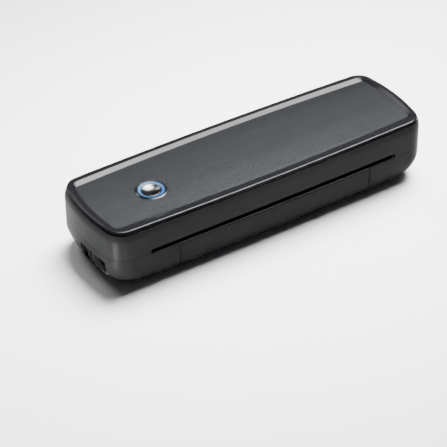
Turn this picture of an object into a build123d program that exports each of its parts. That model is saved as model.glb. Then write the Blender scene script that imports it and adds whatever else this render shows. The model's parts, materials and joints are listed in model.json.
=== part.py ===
"""Portable thermal printer for A4 sheets.

Millimetres. X runs along the printer, with the sockets at -X and the gears at +X. Y runs from
the front, where the paper leaves, to the back. Z is up. The origin is the middle of the
footprint, on the surface that the feet stand on.
"""

import os
from math import acos, atan2, cos, degrees, pi, radians, sin, sqrt, tan

from build123d import *

os.makedirs("parts", exist_ok=True)

# Outer form
overall_height = 52.0
body_length = 278.0
body_width = 84.0
half_length = body_length / 2
half_width = body_width / 2
underside_height = 1.3
wall = 2.2
deck_thickness = 2.3
parting_height = 28.4
parting_groove_height = 0.25
parting_groove_depth = 0.3
tongue_height = 1.6
tongue_thickness = 1.0
fit_gap = 0.3
seat_gap = 0.1

# Upper shoulder, which leans in towards the rim
shoulder_depth = 9.0
shoulder_lean_end = 2.4
shoulder_lean_side = 1.3
rim_bow_side = 2.7
rim_bow_end = 5.8
rim_corner = 12.0

# Straight middle
middle_bow_side = 0.9
middle_bow_end = 5.8
middle_corner = 16.0

# Rounded underside
turn_rise = 20.0
turn_run_side = 8.4
turn_run_end = 16.8
turn_end_angle = 80.0
underside_bow_side = 4.0
underside_bow_end = 9.5
underside_corner = 22.0

# Bezel and top panel
bezel_height = 2.7
bezel_groove_height = 1.0
bezel_groove_depth = 0.9
bezel_edge_radius = 0.9
bezel_land_side = 4.2
bezel_land_end = 3.4
land_bow_side = 3.1
land_bow_end = 5.0
land_corner = 8.0
panel_thickness = 1.2
panel_gap = 0.15
panel_half_length = half_length - 8.4
panel_half_width = half_width - 9.1
panel_bow_side = 3.6
panel_bow_end = 3.8
panel_corner = 3.0

# Power button and its lamp ring
button_x = 55.5 - half_length
button_y = -3.3
button_diameter = 14.4
button_edge_height = 50.9
button_crown = 1.0
button_travel = 0.5
button_flange_diameter = 18.0
button_flange_thickness = 1.0
button_stem_diameter = 3.4
light_outer_diameter = 19.6
light_inner_diameter = 15.6
light_top = 51.3
light_seat = 45.4
light_flange_diameter = 21.6
light_flange_thickness = 1.2
button_bezel_diameter = 24.0
button_bezel_rise = 1.1
button_neck_diameter = 22.0
button_bezel_bore = 20.2
stem_bottom = 42.7
plunger_length = 1.8
tact_size = 6.0
tact_height = 3.0
button_board_top = 39.0
button_board_size = (34.0, 17.0)
button_post_reach = 14.0
button_post_diameter = 5.0
lamp_size = 2.0
lamp_height = 1.0
lamp_circle = 7.4
lamp_count = 6

# Paper path
paper_slot_width = body_length - 64
slot_top = 31.3
lip_top = 27.9
lip_drop = 0.7
lip_thickness = 0.6
lip_length = 5.0
lip_setback = 0.5
seam_height = 26.4
guide_thickness = 1.4
guide_half_length = half_length - 29.9
guide_front = 6.4 - half_width
guide_back = half_width - 6
guide_tongue_back = half_width - 3.4
guide_rib_height = 1.6
guide_rib_thickness = 1.2
guide_rib_spacing = 26.0
guide_rib_count = 5
inlet_height = 4.6
inlet_floor = 27.5
upper_guide_height = 29.4
upper_guide_half_length = half_length - 27.8
upper_guide_front = 39.4 - half_width
upper_guide_back = half_width - 8
sensor_x = 22.0
sensor_size = (6.0, 4.0, 3.4)

# Platen
platen_y = 20.0 - half_width
platen_z = 22.4
platen_diameter = 12.0
platen_length = body_length - 68
platen_shaft_diameter = 6.0
platen_shaft_overhang = 3.0
running_clearance = 0.04
bush_diameter = 9.0
bush_flange_diameter = 11.0
bush_flange = 0.8

# Side frames
frame_x = half_length - 29.6
frame_thickness = 1.2
frame_seat = 5.6
frame_tab_width = 8.0
frame_front = platen_y - 8
frame_back = half_width - 14
frame_front_tab = platen_y - 4
frame_rear_tab = half_width - 18
frame_head_back = platen_y + 19
frame_head_top = 43.0
frame_corner = 4.0
frame_window_diameter = 9.0

# Gear train
gear_module = 0.8
gear_pressure_angle = 20.0
gear_backlash = 0.12
gear_addendum = 0.85
gear_dedendum = 1.2
pinion_teeth = 12
idler_large_teeth = 28
idler_small_teeth = 14
platen_teeth = 26
idler_angle = -20.0
motor_angle = -8.0
large_gear_start = frame_x + 2.5
large_gear_width = 2.4
small_gear_start = frame_x + 5.2
small_gear_width = 3.0
gear_hub_start = frame_x + 1.5
gear_hub_diameter = 6.0
gear_axle_diameter = 3.0
guard_start = frame_x + 9.2
guard_thickness = 1.0
guard_posts_at = [(platen_y - 5, 9.5), (platen_y + 33, 27.0)]
guard_post_diameter = 4.0
tenon_diameter = 2.4
guard_low = (platen_y - 8, 6.5)
guard_high = (platen_y + 36, 34.0)

# Motor
motor_diameter = 22.0
motor_length = 20.0
motor_boss_diameter = 8.0
motor_shaft_diameter = 2.0
motor_screw_reach = 14.0
motor_ear_angle = 30.0
motor_ear_thickness = 0.8
motor_ear_diameter = 6.0

# Print head
head_gap = 0.15
head_strip_width = 9.0
head_strip_thickness = 1.0
head_half_length = frame_x - 1.9
heat_sink_thickness = 3.2
heat_sink_front = platen_y - 7
heat_sink_back = platen_y + 11.5
heat_sink_fin_height = 2.6
heat_sink_fin_thickness = 1.2
heat_sink_fin_pitch = 3.0
heat_sink_fin_count = 3
head_pivot_y = platen_y + 14.5
head_pivot_z = 33.6
head_pin_diameter = 3.0
head_ear_thickness = 3.5
head_ear_x = frame_x - 5.4
head_spring_spacing = 70.0
head_spring_width = 5.0
head_spring_thickness = 0.5
head_spring_reach = 14.0
head_spring_tab = 4.0
head_spring_y = platen_y + 3.6
cross_bar_height = 39.6
cross_bar_thickness = 1.2
cross_bar_front = platen_y - 5
cross_bar_back = platen_y + 9
cross_bar_flange = 3.0
flex_width = 40.0
flex_thickness = 0.3
flex_height = 36.6

# Front cover
cover_half_length = 82.6
cover_gap = 0.8
cover_thickness = 2.0
cover_top = 26.1
hinge_level = 4.2
knuckle_radius = 2.0
knuckle_depth = 0.2
knuckle_x = cover_half_length - 12.6
knuckle_width = 5.0
ear_radius = 1.8
ear_width = 4.0
ear_gap = 0.4
ear_reach = 6.0
sweep_gap = 0.5
hinge_pin_diameter = 1.6
cover_rib_spacing = 26.0
cover_rib_count = 5
cover_rib_depth = 2.4
cover_rib_thickness = 1.2
cover_rib_bottom = 12.0
cover_rib_top = 24.0
detent_radius = 1.2
detent_rise = 0.5
detent_height = 21.0

# Sockets in the left end
port_bottom = 10.4
port_top = 22.8
port_corner = 1.2
port_depth = 10.5
jack_y = -1.0
jack_opening = 10.4
switch_y = -9.6
switch_opening = 3.6
socket_y = -20.5
socket_opening = 12.6
socket_face = 5.0 - half_length
socket_wall_front = -29.5
socket_wall_back = 6.5
socket_wall_bottom = 9.0
socket_wall_top = 24.6
connector_gap = 0.4
connector_length = 13.0
jack_bore_diameter = 6.4
jack_bore_depth = 9.0
jack_pin_diameter = 2.0
knob_height = 4.4
knob_bottom = 12.0
knob_thickness = 1.8
knob_reach = 1.6
shell_thickness = 0.5
shell_reach = 1.4
tongue_length = 9.0
io_board_low = (11.0 - half_length, -26.4)
io_board_high = (26.0 - half_length, 9.0)

# Electronics and battery
board_thickness = 1.6
board_seat = 33.6
board_low = (-62.0, 4.0)
board_high = (78.0, half_width - 9)
board_post_diameter = 5.0
capacitor_count = 4
capacitor_x = 22.0
capacitor_pitch = 8.0
capacitor_diameter = 6.3
capacitor_height = 7.4
board_post_inset = 4.0
small_post_diameter = 5.0
cell_diameter = 18.4
cell_length = 65.0
battery_y = half_width - 20
battery_z = 14.2
battery_x = -16.0
cradle_thickness = 1.1
contact_thickness = 0.5
strap_thickness = 0.6
strap_width = 10.0

# Feet and screws
foot_diameter = 12.0
foot_thickness = 2.2
foot_x = half_length - 35
foot_y = half_width - 25
boss_diameter = 7.0
lower_boss_diameter = 8.0
boss_meeting = 20.2
screw_diameter = 2.4
screw_head_diameter = 5.0
screw_head_height = 1.8
screw_pocket_depth = 5.0
screw_length = 18.0
small_screw_diameter = 2.0
small_screw_head_diameter = 3.8
small_screw_head_height = 1.2
end_screw_x = half_length - 14
end_screw_y = half_width - 21
left_screw_x = 23.0 - half_length
left_screw_y = 11.0 - half_width

# Derived sizes
panel_top = overall_height - (bezel_height - panel_thickness)
deck_top = overall_height - bezel_height
deck_underside = deck_top - deck_thickness
turn_height = underside_height + turn_rise * sin(radians(turn_end_angle))
floor_top = turn_height - (turn_rise - wall) * sin(radians(turn_end_angle))
slot_half = paper_slot_width / 2
frame_outer = frame_x + frame_thickness
paper_height = platen_z + platen_diameter / 2
guide_underside = lip_top - guide_thickness
idler_distance = gear_module * (idler_small_teeth + platen_teeth) / 2
motor_distance = gear_module * (idler_large_teeth + pinion_teeth) / 2
idler_y = platen_y + idler_distance * cos(radians(idler_angle))
idler_z = platen_z + idler_distance * sin(radians(idler_angle))
motor_y = idler_y + motor_distance * cos(radians(motor_angle))
motor_z = idler_z + motor_distance * sin(radians(motor_angle))
head_strip_bottom = paper_height + head_gap
heat_sink_bottom = head_strip_bottom + head_strip_thickness
heat_sink_top = heat_sink_bottom + heat_sink_thickness
cross_bar_underside = cross_bar_height - cross_bar_thickness
connector_face = socket_face + connector_gap
connector_back = connector_face + connector_length
opening_half = cover_half_length + cover_gap
cover_rib_back = -half_width + middle_bow_side + cover_thickness + cover_rib_depth
detent_y = -half_width + middle_bow_side + cover_thickness / 2
screw_seat = underside_height + screw_pocket_depth
io_board_top = port_bottom + connector_gap
io_board_bottom = io_board_top - board_thickness
board_top = board_seat + board_thickness
button_board_bottom = button_board_top - board_thickness
frame_sides = (-1, 1)
beyond = 5.0

casing_screws_at = [
    (end_screw_x, end_screw_y),
    (end_screw_x, -end_screw_y),
    (-end_screw_x, end_screw_y),
    (left_screw_x, left_screw_y),
]
io_posts_at = [
    (io_board_high[0] - board_post_inset, -19.0),
    (io_board_high[0] - board_post_inset, io_board_high[1] - board_post_inset),
    (io_board_low[0] + small_post_diameter / 2, io_board_high[1] - board_post_inset),
]
guide_posts_at = [(x, y) for x in (-96.0, 62.0) for y in (half_width - 18, 35.0 - half_width)]
frame_screws_at = [
    (side * (frame_x - frame_tab_width / 2), y) for side in (-1, 1) for y in (frame_front_tab, frame_rear_tab)
]
feet_at = [(x, y) for x in (-foot_x, foot_x) for y in (-foot_y, foot_y)]
button_posts_at = [(button_x + side * button_post_reach, button_y) for side in (-1, 1)]
cross_bar_screws_at = [(cross_bar_front + 3, cross_bar_height + 1.4), (cross_bar_back - 3, cross_bar_height + 1.4)]
motor_screws_at = [
    (
        motor_y + side * motor_screw_reach * cos(radians(motor_ear_angle)),
        motor_z + side * motor_screw_reach * sin(radians(motor_ear_angle)),
    )
    for side in (-1, 1)
]
board_posts_at = [
    (x, y)
    for x in (board_low[0] + board_post_inset, board_high[0] - board_post_inset)
    for y in (board_low[1] + board_post_inset, board_high[1] - board_post_inset)
]


# ---------------------------------------------------------------- helpers


def bowed_outline(plane, long_half, short_half, long_bow, end_bow, corner):
    """Four outward-bowed sides joined by round corners tangent to both neighbours."""
    long_radius = (long_half**2 + long_bow**2) / (2 * long_bow)
    end_radius = (short_half**2 + end_bow**2) / (2 * end_bow)
    long_centre = Vector(0, long_radius - short_half)
    end_centre = Vector(end_radius - long_half, 0)
    reach_long = long_radius - corner
    reach_end = end_radius - corner
    span = (end_centre - long_centre).length
    along = (reach_long**2 - reach_end**2 + span**2) / (2 * span)
    across = sqrt(reach_long**2 - along**2)
    unit = (end_centre - long_centre).normalized()
    square = Vector(unit.Y, -unit.X)
    foot = long_centre + unit * along
    picks = [foot + square * across, foot - square * across]
    corner_centre = min(picks, key=lambda point: point.X + point.Y)
    from_long = (corner_centre - long_centre).normalized()
    from_end = (corner_centre - end_centre).normalized()
    long_touch = long_centre + from_long * long_radius
    end_touch = end_centre + from_end * end_radius
    middle = corner_centre + (from_long + from_end).normalized() * corner
    lx, ly = -long_touch.X, -long_touch.Y
    ex, ey = -end_touch.X, -end_touch.Y
    mx, my = -middle.X, -middle.Y
    with BuildSketch(plane) as outline:
        with BuildLine():
            ThreePointArc((-lx, -ly), (0, -short_half), (lx, -ly))
            ThreePointArc((lx, -ly), (mx, -my), (ex, -ey))
            ThreePointArc((ex, -ey), (long_half, 0), (ex, ey))
            ThreePointArc((ex, ey), (mx, my), (lx, ly))
            ThreePointArc((lx, ly), (0, short_half), (-lx, ly))
            ThreePointArc((-lx, ly), (-mx, my), (-ex, ey))
            ThreePointArc((-ex, ey), (-long_half, 0), (-ex, -ey))
            ThreePointArc((-ex, -ey), (-mx, -my), (-lx, -ly))
        make_face()
    return outline.sketch


def blend(start, end, share):
    """A value part of the way from start to end."""
    return start + (end - start) * share


def hull_section(height, skin=0.0):
    """The hull's plan outline at a height, moved inward by a skin thickness."""
    depth = overall_height - height
    lean = 1.0
    if depth < shoulder_depth:
        lean = 1 - (1 - depth / shoulder_depth) ** 2
    drop = min(max(turn_height - height, 0.0) / (turn_rise - skin), 1.0)
    turn = 1 - sqrt(1 - drop**2)
    plan_length = half_length - shoulder_lean_end * (1 - lean) - (turn_run_end - skin) * turn
    plan_width = half_width - shoulder_lean_side * (1 - lean) - (turn_run_side - skin) * turn
    long_bow = blend(blend(rim_bow_side, middle_bow_side, lean), underside_bow_side, turn)
    end_bow = blend(blend(rim_bow_end, middle_bow_end, lean), underside_bow_end, turn)
    corner = blend(blend(rim_corner, middle_corner, lean), underside_corner, turn)
    plane = Plane.XY.offset(height)
    return bowed_outline(plane, plan_length - skin, plan_width - skin, long_bow, end_bow, corner - skin)


def turn_levels(skin=0.0):
    """Heights up the rounded underside, spaced by angle."""
    steps = [turn_end_angle * share for share in (1.0, 0.84, 0.66, 0.48, 0.3, 0.12)]
    return [turn_height - (turn_rise - skin) * sin(radians(step)) for step in steps]


def hull(skin=0.0, top=overall_height):
    """The closed form inside the hull's outer surface, or inside its wall."""
    shoulder = overall_height - shoulder_depth
    levels = turn_levels(skin)
    levels += [turn_height + 4, parting_height, (parting_height + shoulder) / 2, shoulder]
    levels += [shoulder + (top - shoulder) * share for share in (0.35, 0.7, 1.0)]
    with BuildPart() as form:
        loft([hull_section(level, skin) for level in levels])
    return form.part


def block(low, high, mode=Mode.ADD):
    """A rectangular block between two opposite corners."""
    with Locations(tuple((a + b) / 2 for a, b in zip(low, high))):
        Box(*(b - a for a, b in zip(low, high)), mode=mode)


def post(x, y, bottom, top, diameter, mode=Mode.ADD):
    """An upright round post."""
    with Locations((x, y, (bottom + top) / 2)):
        Cylinder(diameter / 2, top - bottom, mode=mode)


def bar(start, end, y, z, diameter, mode=Mode.ADD):
    """A round bar along X."""
    with Locations(((start + end) / 2, y, z)):
        Cylinder(diameter / 2, end - start, rotation=(0, 90, 0), mode=mode)


def spanning(side, near, far):
    """Two distances from the middle as ordered X values on one side of the printer."""
    return sorted((side * near, side * far))


def small_screw(x, y, seat, length):
    """A round-headed screw whose head sits on a level and whose shank points down."""
    post(x, y, seat, seat + small_screw_head_height, small_screw_head_diameter)
    post(x, y, seat - length, seat, small_screw_diameter - 0.1)


def side_screw(side, y, z, length):
    """A round-headed screw whose head sits on a side frame and whose shank points inward."""
    left, right = spanning(side, frame_outer, frame_outer + small_screw_head_height)
    bar(left, right, y, z, small_screw_head_diameter)
    left, right = spanning(side, frame_outer - length, frame_outer)
    bar(left, right, y, z, small_screw_diameter - 0.1)


def involute(angle):
    """The involute function of a pressure angle."""
    return tan(angle) - angle


def gear_face(plane, centre, teeth, tooth_angle, bore):
    """A spur gear's face with one tooth centred on tooth_angle degrees and a round bore."""
    pressure = radians(gear_pressure_angle)
    pitch = gear_module * teeth / 2
    tip = pitch + gear_addendum * gear_module
    root = pitch - gear_dedendum * gear_module
    base = pitch * cos(pressure)
    half_pitch = pi / (2 * teeth) - gear_backlash / (2 * pitch)
    half_tip = half_pitch + involute(pressure) - involute(acos(base / tip))
    half_root = half_pitch + involute(pressure) - involute(acos(min(base / max(root, base), 1.0)))

    def at(radius, angle):
        return (centre[0] + radius * cos(angle), centre[1] + radius * sin(angle))

    with BuildSketch(plane) as face:
        with BuildLine():
            for tooth in range(teeth):
                middle = radians(tooth_angle) + tooth * 2 * pi / teeth
                following = middle + 2 * pi / teeth
                ThreePointArc(
                    at(root, middle - half_root), at(pitch, middle - half_pitch), at(tip, middle - half_tip)
                )
                Line(at(tip, middle - half_tip), at(tip, middle + half_tip))
                ThreePointArc(
                    at(tip, middle + half_tip), at(pitch, middle + half_pitch), at(root, middle + half_root)
                )
                Line(at(root, middle + half_root), at(root, following - half_root))
        make_face()
        with Locations(centre):
            Circle(bore / 2, mode=Mode.SUBTRACT)
    return face.sketch


def finish(piece, label):
    """Name a finished piece and write it."""
    piece.part.label = label
    export_step(piece.part, f"parts/{label}.step")


# ---------------------------------------------------------------- hinge of the front cover

hinge_turn = 1 - sqrt(1 - ((turn_height - hinge_level) / turn_rise) ** 2)
hinge_bow = blend(middle_bow_side, underside_bow_side, hinge_turn)
hinge_sag = hinge_bow * (knuckle_x / half_length) ** 2
hinge_lean = atan2((turn_height - hinge_level) / turn_rise**2, (1 - hinge_turn) / turn_run_side)
hinge_inset = knuckle_radius + knuckle_depth
hinge_y = turn_run_side * hinge_turn - half_width + hinge_sag + hinge_inset * cos(hinge_lean)
hinge_z = hinge_level + hinge_inset * sin(hinge_lean)
hinge_sweep = hinge_inset + hinge_sag * cos(hinge_lean) + sweep_gap


def doorway(half, sweep, top):
    """The region in front of and above the hinge, bounded by a line down from its axis."""
    reach = 3 * turn_rise
    edge = (hinge_y - reach * cos(hinge_lean), hinge_z - reach * sin(hinge_lean))
    with BuildSketch(Plane.YZ.offset(-half)) as region:
        with BuildLine():
            Polyline((hinge_y, hinge_z), edge, (edge[0], top), (hinge_y, top), close=True)
        make_face()
        if sweep:
            with Locations((hinge_y, hinge_z)):
                Circle(sweep)
    return region.sketch


# ---------------------------------------------------------------- casings

outer_hull = hull()
inner_hull = hull(wall, deck_underside)

# Upper casing: walls, deck, the slot's upper lip and the bosses for screws and button board
with BuildPart() as upper_casing:
    add(outer_hull)
    split(bisect_by=Plane.XY.offset(parting_height), keep=Keep.TOP)
    split(bisect_by=Plane.XY.offset(deck_top), keep=Keep.BOTTOM)
    add(inner_hull, mode=Mode.SUBTRACT)
    block(
        (-slot_half, -half_width - beyond, parting_height - 1),
        (slot_half, -half_width + beyond, slot_top),
        Mode.SUBTRACT,
    )
    block(
        (-slot_half, half_width - beyond, parting_height - 1),
        (slot_half, half_width + beyond, parting_height + inlet_height),
        Mode.SUBTRACT,
    )
    post(button_x, button_y, deck_underside - 1, deck_top + 1, button_neck_diameter + 2 * fit_gap, Mode.SUBTRACT)
    for x, y in casing_screws_at:
        post(x, y, boss_meeting + fit_gap, deck_underside + 1, boss_diameter)
        post(x, y, boss_meeting, boss_meeting + screw_length, screw_diameter, Mode.SUBTRACT)
    for x, y in button_posts_at:
        post(x, y, button_board_top, deck_underside + 1, button_post_diameter)
        post(x, y, button_board_top - 1, deck_underside - 1, small_screw_diameter, Mode.SUBTRACT)
finish(upper_casing, "upper_casing")

# Posts and socket wall that stand inside the lower casing, trimmed to its wall
with BuildPart() as floor_posts:
    for x, y in casing_screws_at:
        post(x, y, 0, boss_meeting, lower_boss_diameter)
    for x, y in io_posts_at:
        post(x, y, 0, io_board_top - board_thickness, small_post_diameter)
    for x, y in guide_posts_at:
        post(x, y, 0, guide_underside, small_post_diameter)
    for x, y in frame_screws_at:
        post(x, y, 0, frame_seat, frame_tab_width - 1)
    block((-half_length, socket_wall_front, socket_wall_bottom), (socket_face, socket_wall_back, socket_wall_top))
    add(hull(wall / 2), mode=Mode.INTERSECT)

# Tongue that stands inside the upper casing's wall at both ends
with BuildPart() as tongue:
    extrude(hull_section(parting_height + tongue_height, wall + fit_gap), amount=-2 * tongue_height)
    extrude(hull_section(parting_height - tongue_height, wall / 2), amount=tongue_height - fit_gap)
    core = hull_section(parting_height + 2 * tongue_height, wall + fit_gap + tongue_thickness)
    extrude(core, amount=-4 * tongue_height, mode=Mode.SUBTRACT)
    stop = slot_half + 2
    block((-stop, -half_width, 0), (stop, half_width, overall_height), Mode.SUBTRACT)

# Shadow line round the outside of the parting
with BuildPart() as parting_groove:
    extrude(hull_section(parting_height, -1), amount=-parting_groove_height)
    core = hull_section(parting_height + 1, parting_groove_depth)
    extrude(core, amount=-2 - parting_groove_height, mode=Mode.SUBTRACT)

# Ears of the lower casing that hold the cover's hinge pins
with BuildPart() as hinge_ears:
    for side in (-1, 1):
        middle = side * (knuckle_x + (knuckle_width + ear_width) / 2 + ear_gap)
        left, right = middle - ear_width / 2, middle + ear_width / 2
        arm_end = hinge_y + ear_reach
        bar(left, right, hinge_y, hinge_z, 2 * ear_radius)
        block((left, hinge_y, hinge_z - ear_radius), (right, arm_end, hinge_z + ear_radius))
        block((left, hinge_y + hinge_sweep + sweep_gap, underside_height + 1), (right, arm_end, hinge_z))
        bar(left - 1, right + 1, hinge_y, hinge_z, hinge_pin_diameter + 2 * running_clearance, Mode.SUBTRACT)

# Lower casing: tub with a rounded underside, doorway, sockets and feet
with BuildPart() as lower_casing:
    add(outer_hull)
    split(bisect_by=Plane.XY.offset(parting_height), keep=Keep.BOTTOM)
    add(inner_hull, mode=Mode.SUBTRACT)
    add(tongue.part)
    add(floor_posts.part)
    add(parting_groove.part, mode=Mode.SUBTRACT)
    # Front and back edges drop below the paper path
    block((-slot_half, -half_width - beyond, seam_height), (slot_half, frame_front, overall_height), Mode.SUBTRACT)
    block((-slot_half, frame_back, inlet_floor), (slot_half, half_width + beyond, overall_height), Mode.SUBTRACT)
    # Doorway for the front cover
    extrude(doorway(opening_half, hinge_sweep, overall_height), amount=2 * opening_half, mode=Mode.SUBTRACT)
    add(hinge_ears.part)
    # Sockets in the left end
    for y, width in ((jack_y, jack_opening), (switch_y, switch_opening), (socket_y, socket_opening)):
        with BuildSketch(Plane.YZ.offset(-half_length - beyond)):
            with Locations((y, (port_bottom + port_top) / 2)):
                RectangleRounded(width, port_top - port_bottom, port_corner)
        extrude(amount=beyond + port_depth, mode=Mode.SUBTRACT)
    # Foot seats and screw holes
    for x, y in feet_at:
        post(x, y, 0, foot_thickness, foot_diameter + 0.1, Mode.SUBTRACT)
    for x, y in casing_screws_at:
        post(x, y, 0, screw_seat, screw_head_diameter + 0.4, Mode.SUBTRACT)
        post(x, y, 0, boss_meeting, screw_diameter + 0.4, Mode.SUBTRACT)
    for x, y in frame_screws_at:
        post(x, y, frame_seat - 3.4, frame_seat, small_screw_diameter, Mode.SUBTRACT)
    for x, y in io_posts_at[:2]:
        post(x, y, io_board_top - board_thickness - 5, io_board_top, small_screw_diameter, Mode.SUBTRACT)
finish(lower_casing, "lower_casing")

# Rubber feet in their seats
with BuildPart() as rubber_feet:
    for x, y in feet_at:
        post(x, y, 0, foot_thickness, foot_diameter)
finish(rubber_feet, "rubber_feet")

# Screws that join the casings from below
with BuildPart() as casing_screws:
    for x, y in casing_screws_at:
        post(x, y, screw_seat - screw_head_height, screw_seat, screw_head_diameter)
        post(x, y, screw_seat, screw_seat + screw_length, screw_diameter - 0.1)
finish(casing_screws, "casing_screws")

# ---------------------------------------------------------------- front cover

cover_wall = outer_hull - hull(cover_thickness)

# Front cover: part of the hull's shell with knuckles, ribs and detents
with BuildPart() as front_cover:
    add(cover_wall)
    extrude(doorway(cover_half_length, 0, cover_top), amount=2 * cover_half_length, mode=Mode.INTERSECT)
    for index in range(cover_rib_count):
        x = (index - (cover_rib_count - 1) / 2) * cover_rib_spacing
        low = (x - cover_rib_thickness / 2, -half_width + cover_thickness / 2, cover_rib_bottom)
        block(low, (x + cover_rib_thickness / 2, cover_rib_back, cover_rib_top))
    for side in (-1, 1):
        with Locations((side * cover_half_length, detent_y, detent_height)):
            Sphere(detent_radius)
        edge = cover_half_length + detent_rise
        left, right = spanning(side, edge, edge + beyond)
        block((left, -half_width, 0), (right, 0, overall_height), Mode.SUBTRACT)
        middle = side * (knuckle_x + (knuckle_width + ear_width) / 2 + ear_gap)
        clear_half = ear_width / 2 + ear_gap
        bar(middle - clear_half, middle + clear_half, hinge_y, hinge_z, 2 * (ear_radius + sweep_gap), Mode.SUBTRACT)
        middle = side * knuckle_x
        bar(middle - knuckle_width / 2, middle + knuckle_width / 2, hinge_y, hinge_z, 2 * knuckle_radius)
        bore = hinge_pin_diameter + 2 * running_clearance
        bar(middle - knuckle_width, middle + knuckle_width, hinge_y, hinge_z, bore, Mode.SUBTRACT)
finish(front_cover, "front_cover")

# Pins through the cover's knuckles and the ears
with BuildPart() as hinge_pins:
    for side in (-1, 1):
        knuckle_end = knuckle_x + knuckle_width / 2
        left, right = spanning(side, knuckle_x - knuckle_width / 2 - 1, knuckle_end + ear_gap + ear_width)
        bar(left, right, hinge_y, hinge_z, hinge_pin_diameter)
finish(hinge_pins, "hinge_pins")

# ---------------------------------------------------------------- bezel and top panel


def button_hole(bottom, top):
    """The round hole that the power button's bezel stands in."""
    post(button_x, button_y, bottom, top, button_neck_diameter + 2 * fit_gap, Mode.SUBTRACT)


# Top bezel: glossy ring with a rounded rim, a bevel inside and a shadow groove below
panel_hole = (panel_half_length + panel_gap, panel_half_width + panel_gap, panel_bow_side, panel_bow_end, panel_corner)
land_length = half_length - shoulder_lean_end - bezel_land_end
land_width = half_width - shoulder_lean_side - bezel_land_side
land_hole = (land_length, land_width, land_bow_side, land_bow_end, land_corner)
with BuildPart() as top_bezel:
    extrude(hull_section(deck_top, bezel_groove_depth), amount=bezel_groove_height)
    rim_start = overall_height - bezel_edge_radius
    levels = [blend(deck_top + bezel_groove_height, rim_start, share) for share in (0.0, 0.5, 1.0)]
    loft([hull_section(level) for level in levels])
    steps = [radians(angle) for angle in (0, 30, 60, 90)]
    rounding = [(rim_start + bezel_edge_radius * sin(step), bezel_edge_radius * (1 - cos(step))) for step in steps]
    loft([hull_section(level, skin) for level, skin in rounding])
    extrude(bowed_outline(Plane.XY.offset(deck_top - 1), *panel_hole), amount=beyond, mode=Mode.SUBTRACT)
    lower_edge = bowed_outline(Plane.XY.offset(panel_top), *panel_hole)
    loft([lower_edge, bowed_outline(Plane.XY.offset(overall_height), *land_hole)], ruled=True, mode=Mode.SUBTRACT)
finish(top_bezel, "top_bezel")

# Top panel: thin plate lying on the deck inside the bezel
with BuildPart() as top_panel:
    panel = (panel_half_length, panel_half_width, panel_bow_side, panel_bow_end, panel_corner)
    extrude(bowed_outline(Plane.XY.offset(deck_top), *panel), amount=panel_thickness)
    button_hole(deck_top - 1, panel_top + 1)
finish(top_panel, "top_panel")

# ---------------------------------------------------------------- power button

button_plane = Plane(origin=(button_x, button_y, 0), x_dir=(1, 0, 0), z_dir=(0, -1, 0))
button_axis = Axis((button_x, button_y, 0), (0, 0, 1))

# Convex ring round the button, with a neck through the panel and the deck
with BuildPart() as button_bezel:
    neck = button_neck_diameter / 2
    bore = button_bezel_bore / 2
    rim = button_bezel_diameter / 2
    crest = panel_top + button_bezel_rise
    with BuildSketch(button_plane):
        with BuildLine():
            Polyline((bore, light_seat + light_flange_thickness), (neck, light_seat + light_flange_thickness))
            Polyline((neck, light_seat + light_flange_thickness), (neck, panel_top), (rim, panel_top))
            ThreePointArc((rim, panel_top), (rim - 0.5, crest - 0.3), (bore, crest))
            Line((bore, crest), (bore, light_seat + light_flange_thickness))
        make_face()
    revolve(axis=button_axis)
finish(button_bezel, "button_bezel")

# Translucent ring with a flange under the bezel's neck
with BuildPart() as light_ring:
    inner, outer, flange = light_inner_diameter / 2, light_outer_diameter / 2, light_flange_diameter / 2
    flange_top = light_seat + light_flange_thickness
    with BuildSketch(button_plane):
        with BuildLine():
            Polyline(
                (inner, light_seat),
                (flange, light_seat),
                (flange, flange_top),
                (outer, flange_top),
                (outer, light_top - 0.3),
                (outer - 0.3, light_top),
                (inner + 0.3, light_top),
                (inner, light_top - 0.3),
                close=True,
            )
        make_face()
    revolve(axis=button_axis)
finish(light_ring, "light_ring")

# Domed button with a retaining flange and a stem
with BuildPart() as power_button:
    radius, flange, stem = button_diameter / 2, button_flange_diameter / 2, button_stem_diameter / 2
    flange_top = light_seat - fit_gap
    flange_bottom = flange_top - button_flange_thickness
    crown = button_edge_height + button_crown
    reach = radius - 0.3
    dome_radius = (reach**2 + button_crown**2) / (2 * button_crown)
    dome_middle = crown - dome_radius + sqrt(dome_radius**2 - (reach / 2) ** 2)
    with BuildSketch(button_plane):
        with BuildLine():
            Polyline((0, stem_bottom), (stem, stem_bottom), (stem, flange_bottom), (flange, flange_bottom))
            Polyline((flange, flange_bottom), (flange, flange_top), (radius, flange_top))
            Polyline((radius, flange_top), (radius, button_edge_height - 0.3), (reach, button_edge_height))
            ThreePointArc((reach, button_edge_height), (reach / 2, dome_middle), (0, crown))
            Line((0, crown), (0, stem_bottom))
        make_face()
    revolve(axis=button_axis)
finish(power_button, "power_button")

# Plunger that the stem presses on
with BuildPart() as button_plunger:
    post(button_x, button_y, stem_bottom - plunger_length, stem_bottom, button_stem_diameter)
finish(button_plunger, "button_plunger")

# Switch body with the plunger's bore
with BuildPart() as tact_switch:
    tact_top = button_board_top + tact_height
    half = tact_size / 2
    block((button_x - half, button_y - half, button_board_top), (button_x + half, button_y + half, tact_top))
    bore_bottom = stem_bottom - plunger_length - button_travel - 0.2
    post(button_x, button_y, bore_bottom, tact_top + 1, button_stem_diameter + 0.1, Mode.SUBTRACT)
finish(tact_switch, "tact_switch")

# Board that hangs from two posts under the deck
with BuildPart() as button_board:
    long_half, short_half = (size / 2 for size in button_board_size)
    low = (button_x - long_half, button_y - short_half, button_board_bottom)
    block(low, (button_x + long_half, button_y + short_half, button_board_top))
    for x, y in button_posts_at:
        post(x, y, button_board_bottom - 1, button_board_top + 1, small_screw_diameter + 0.2, Mode.SUBTRACT)
finish(button_board, "button_board")

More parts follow.
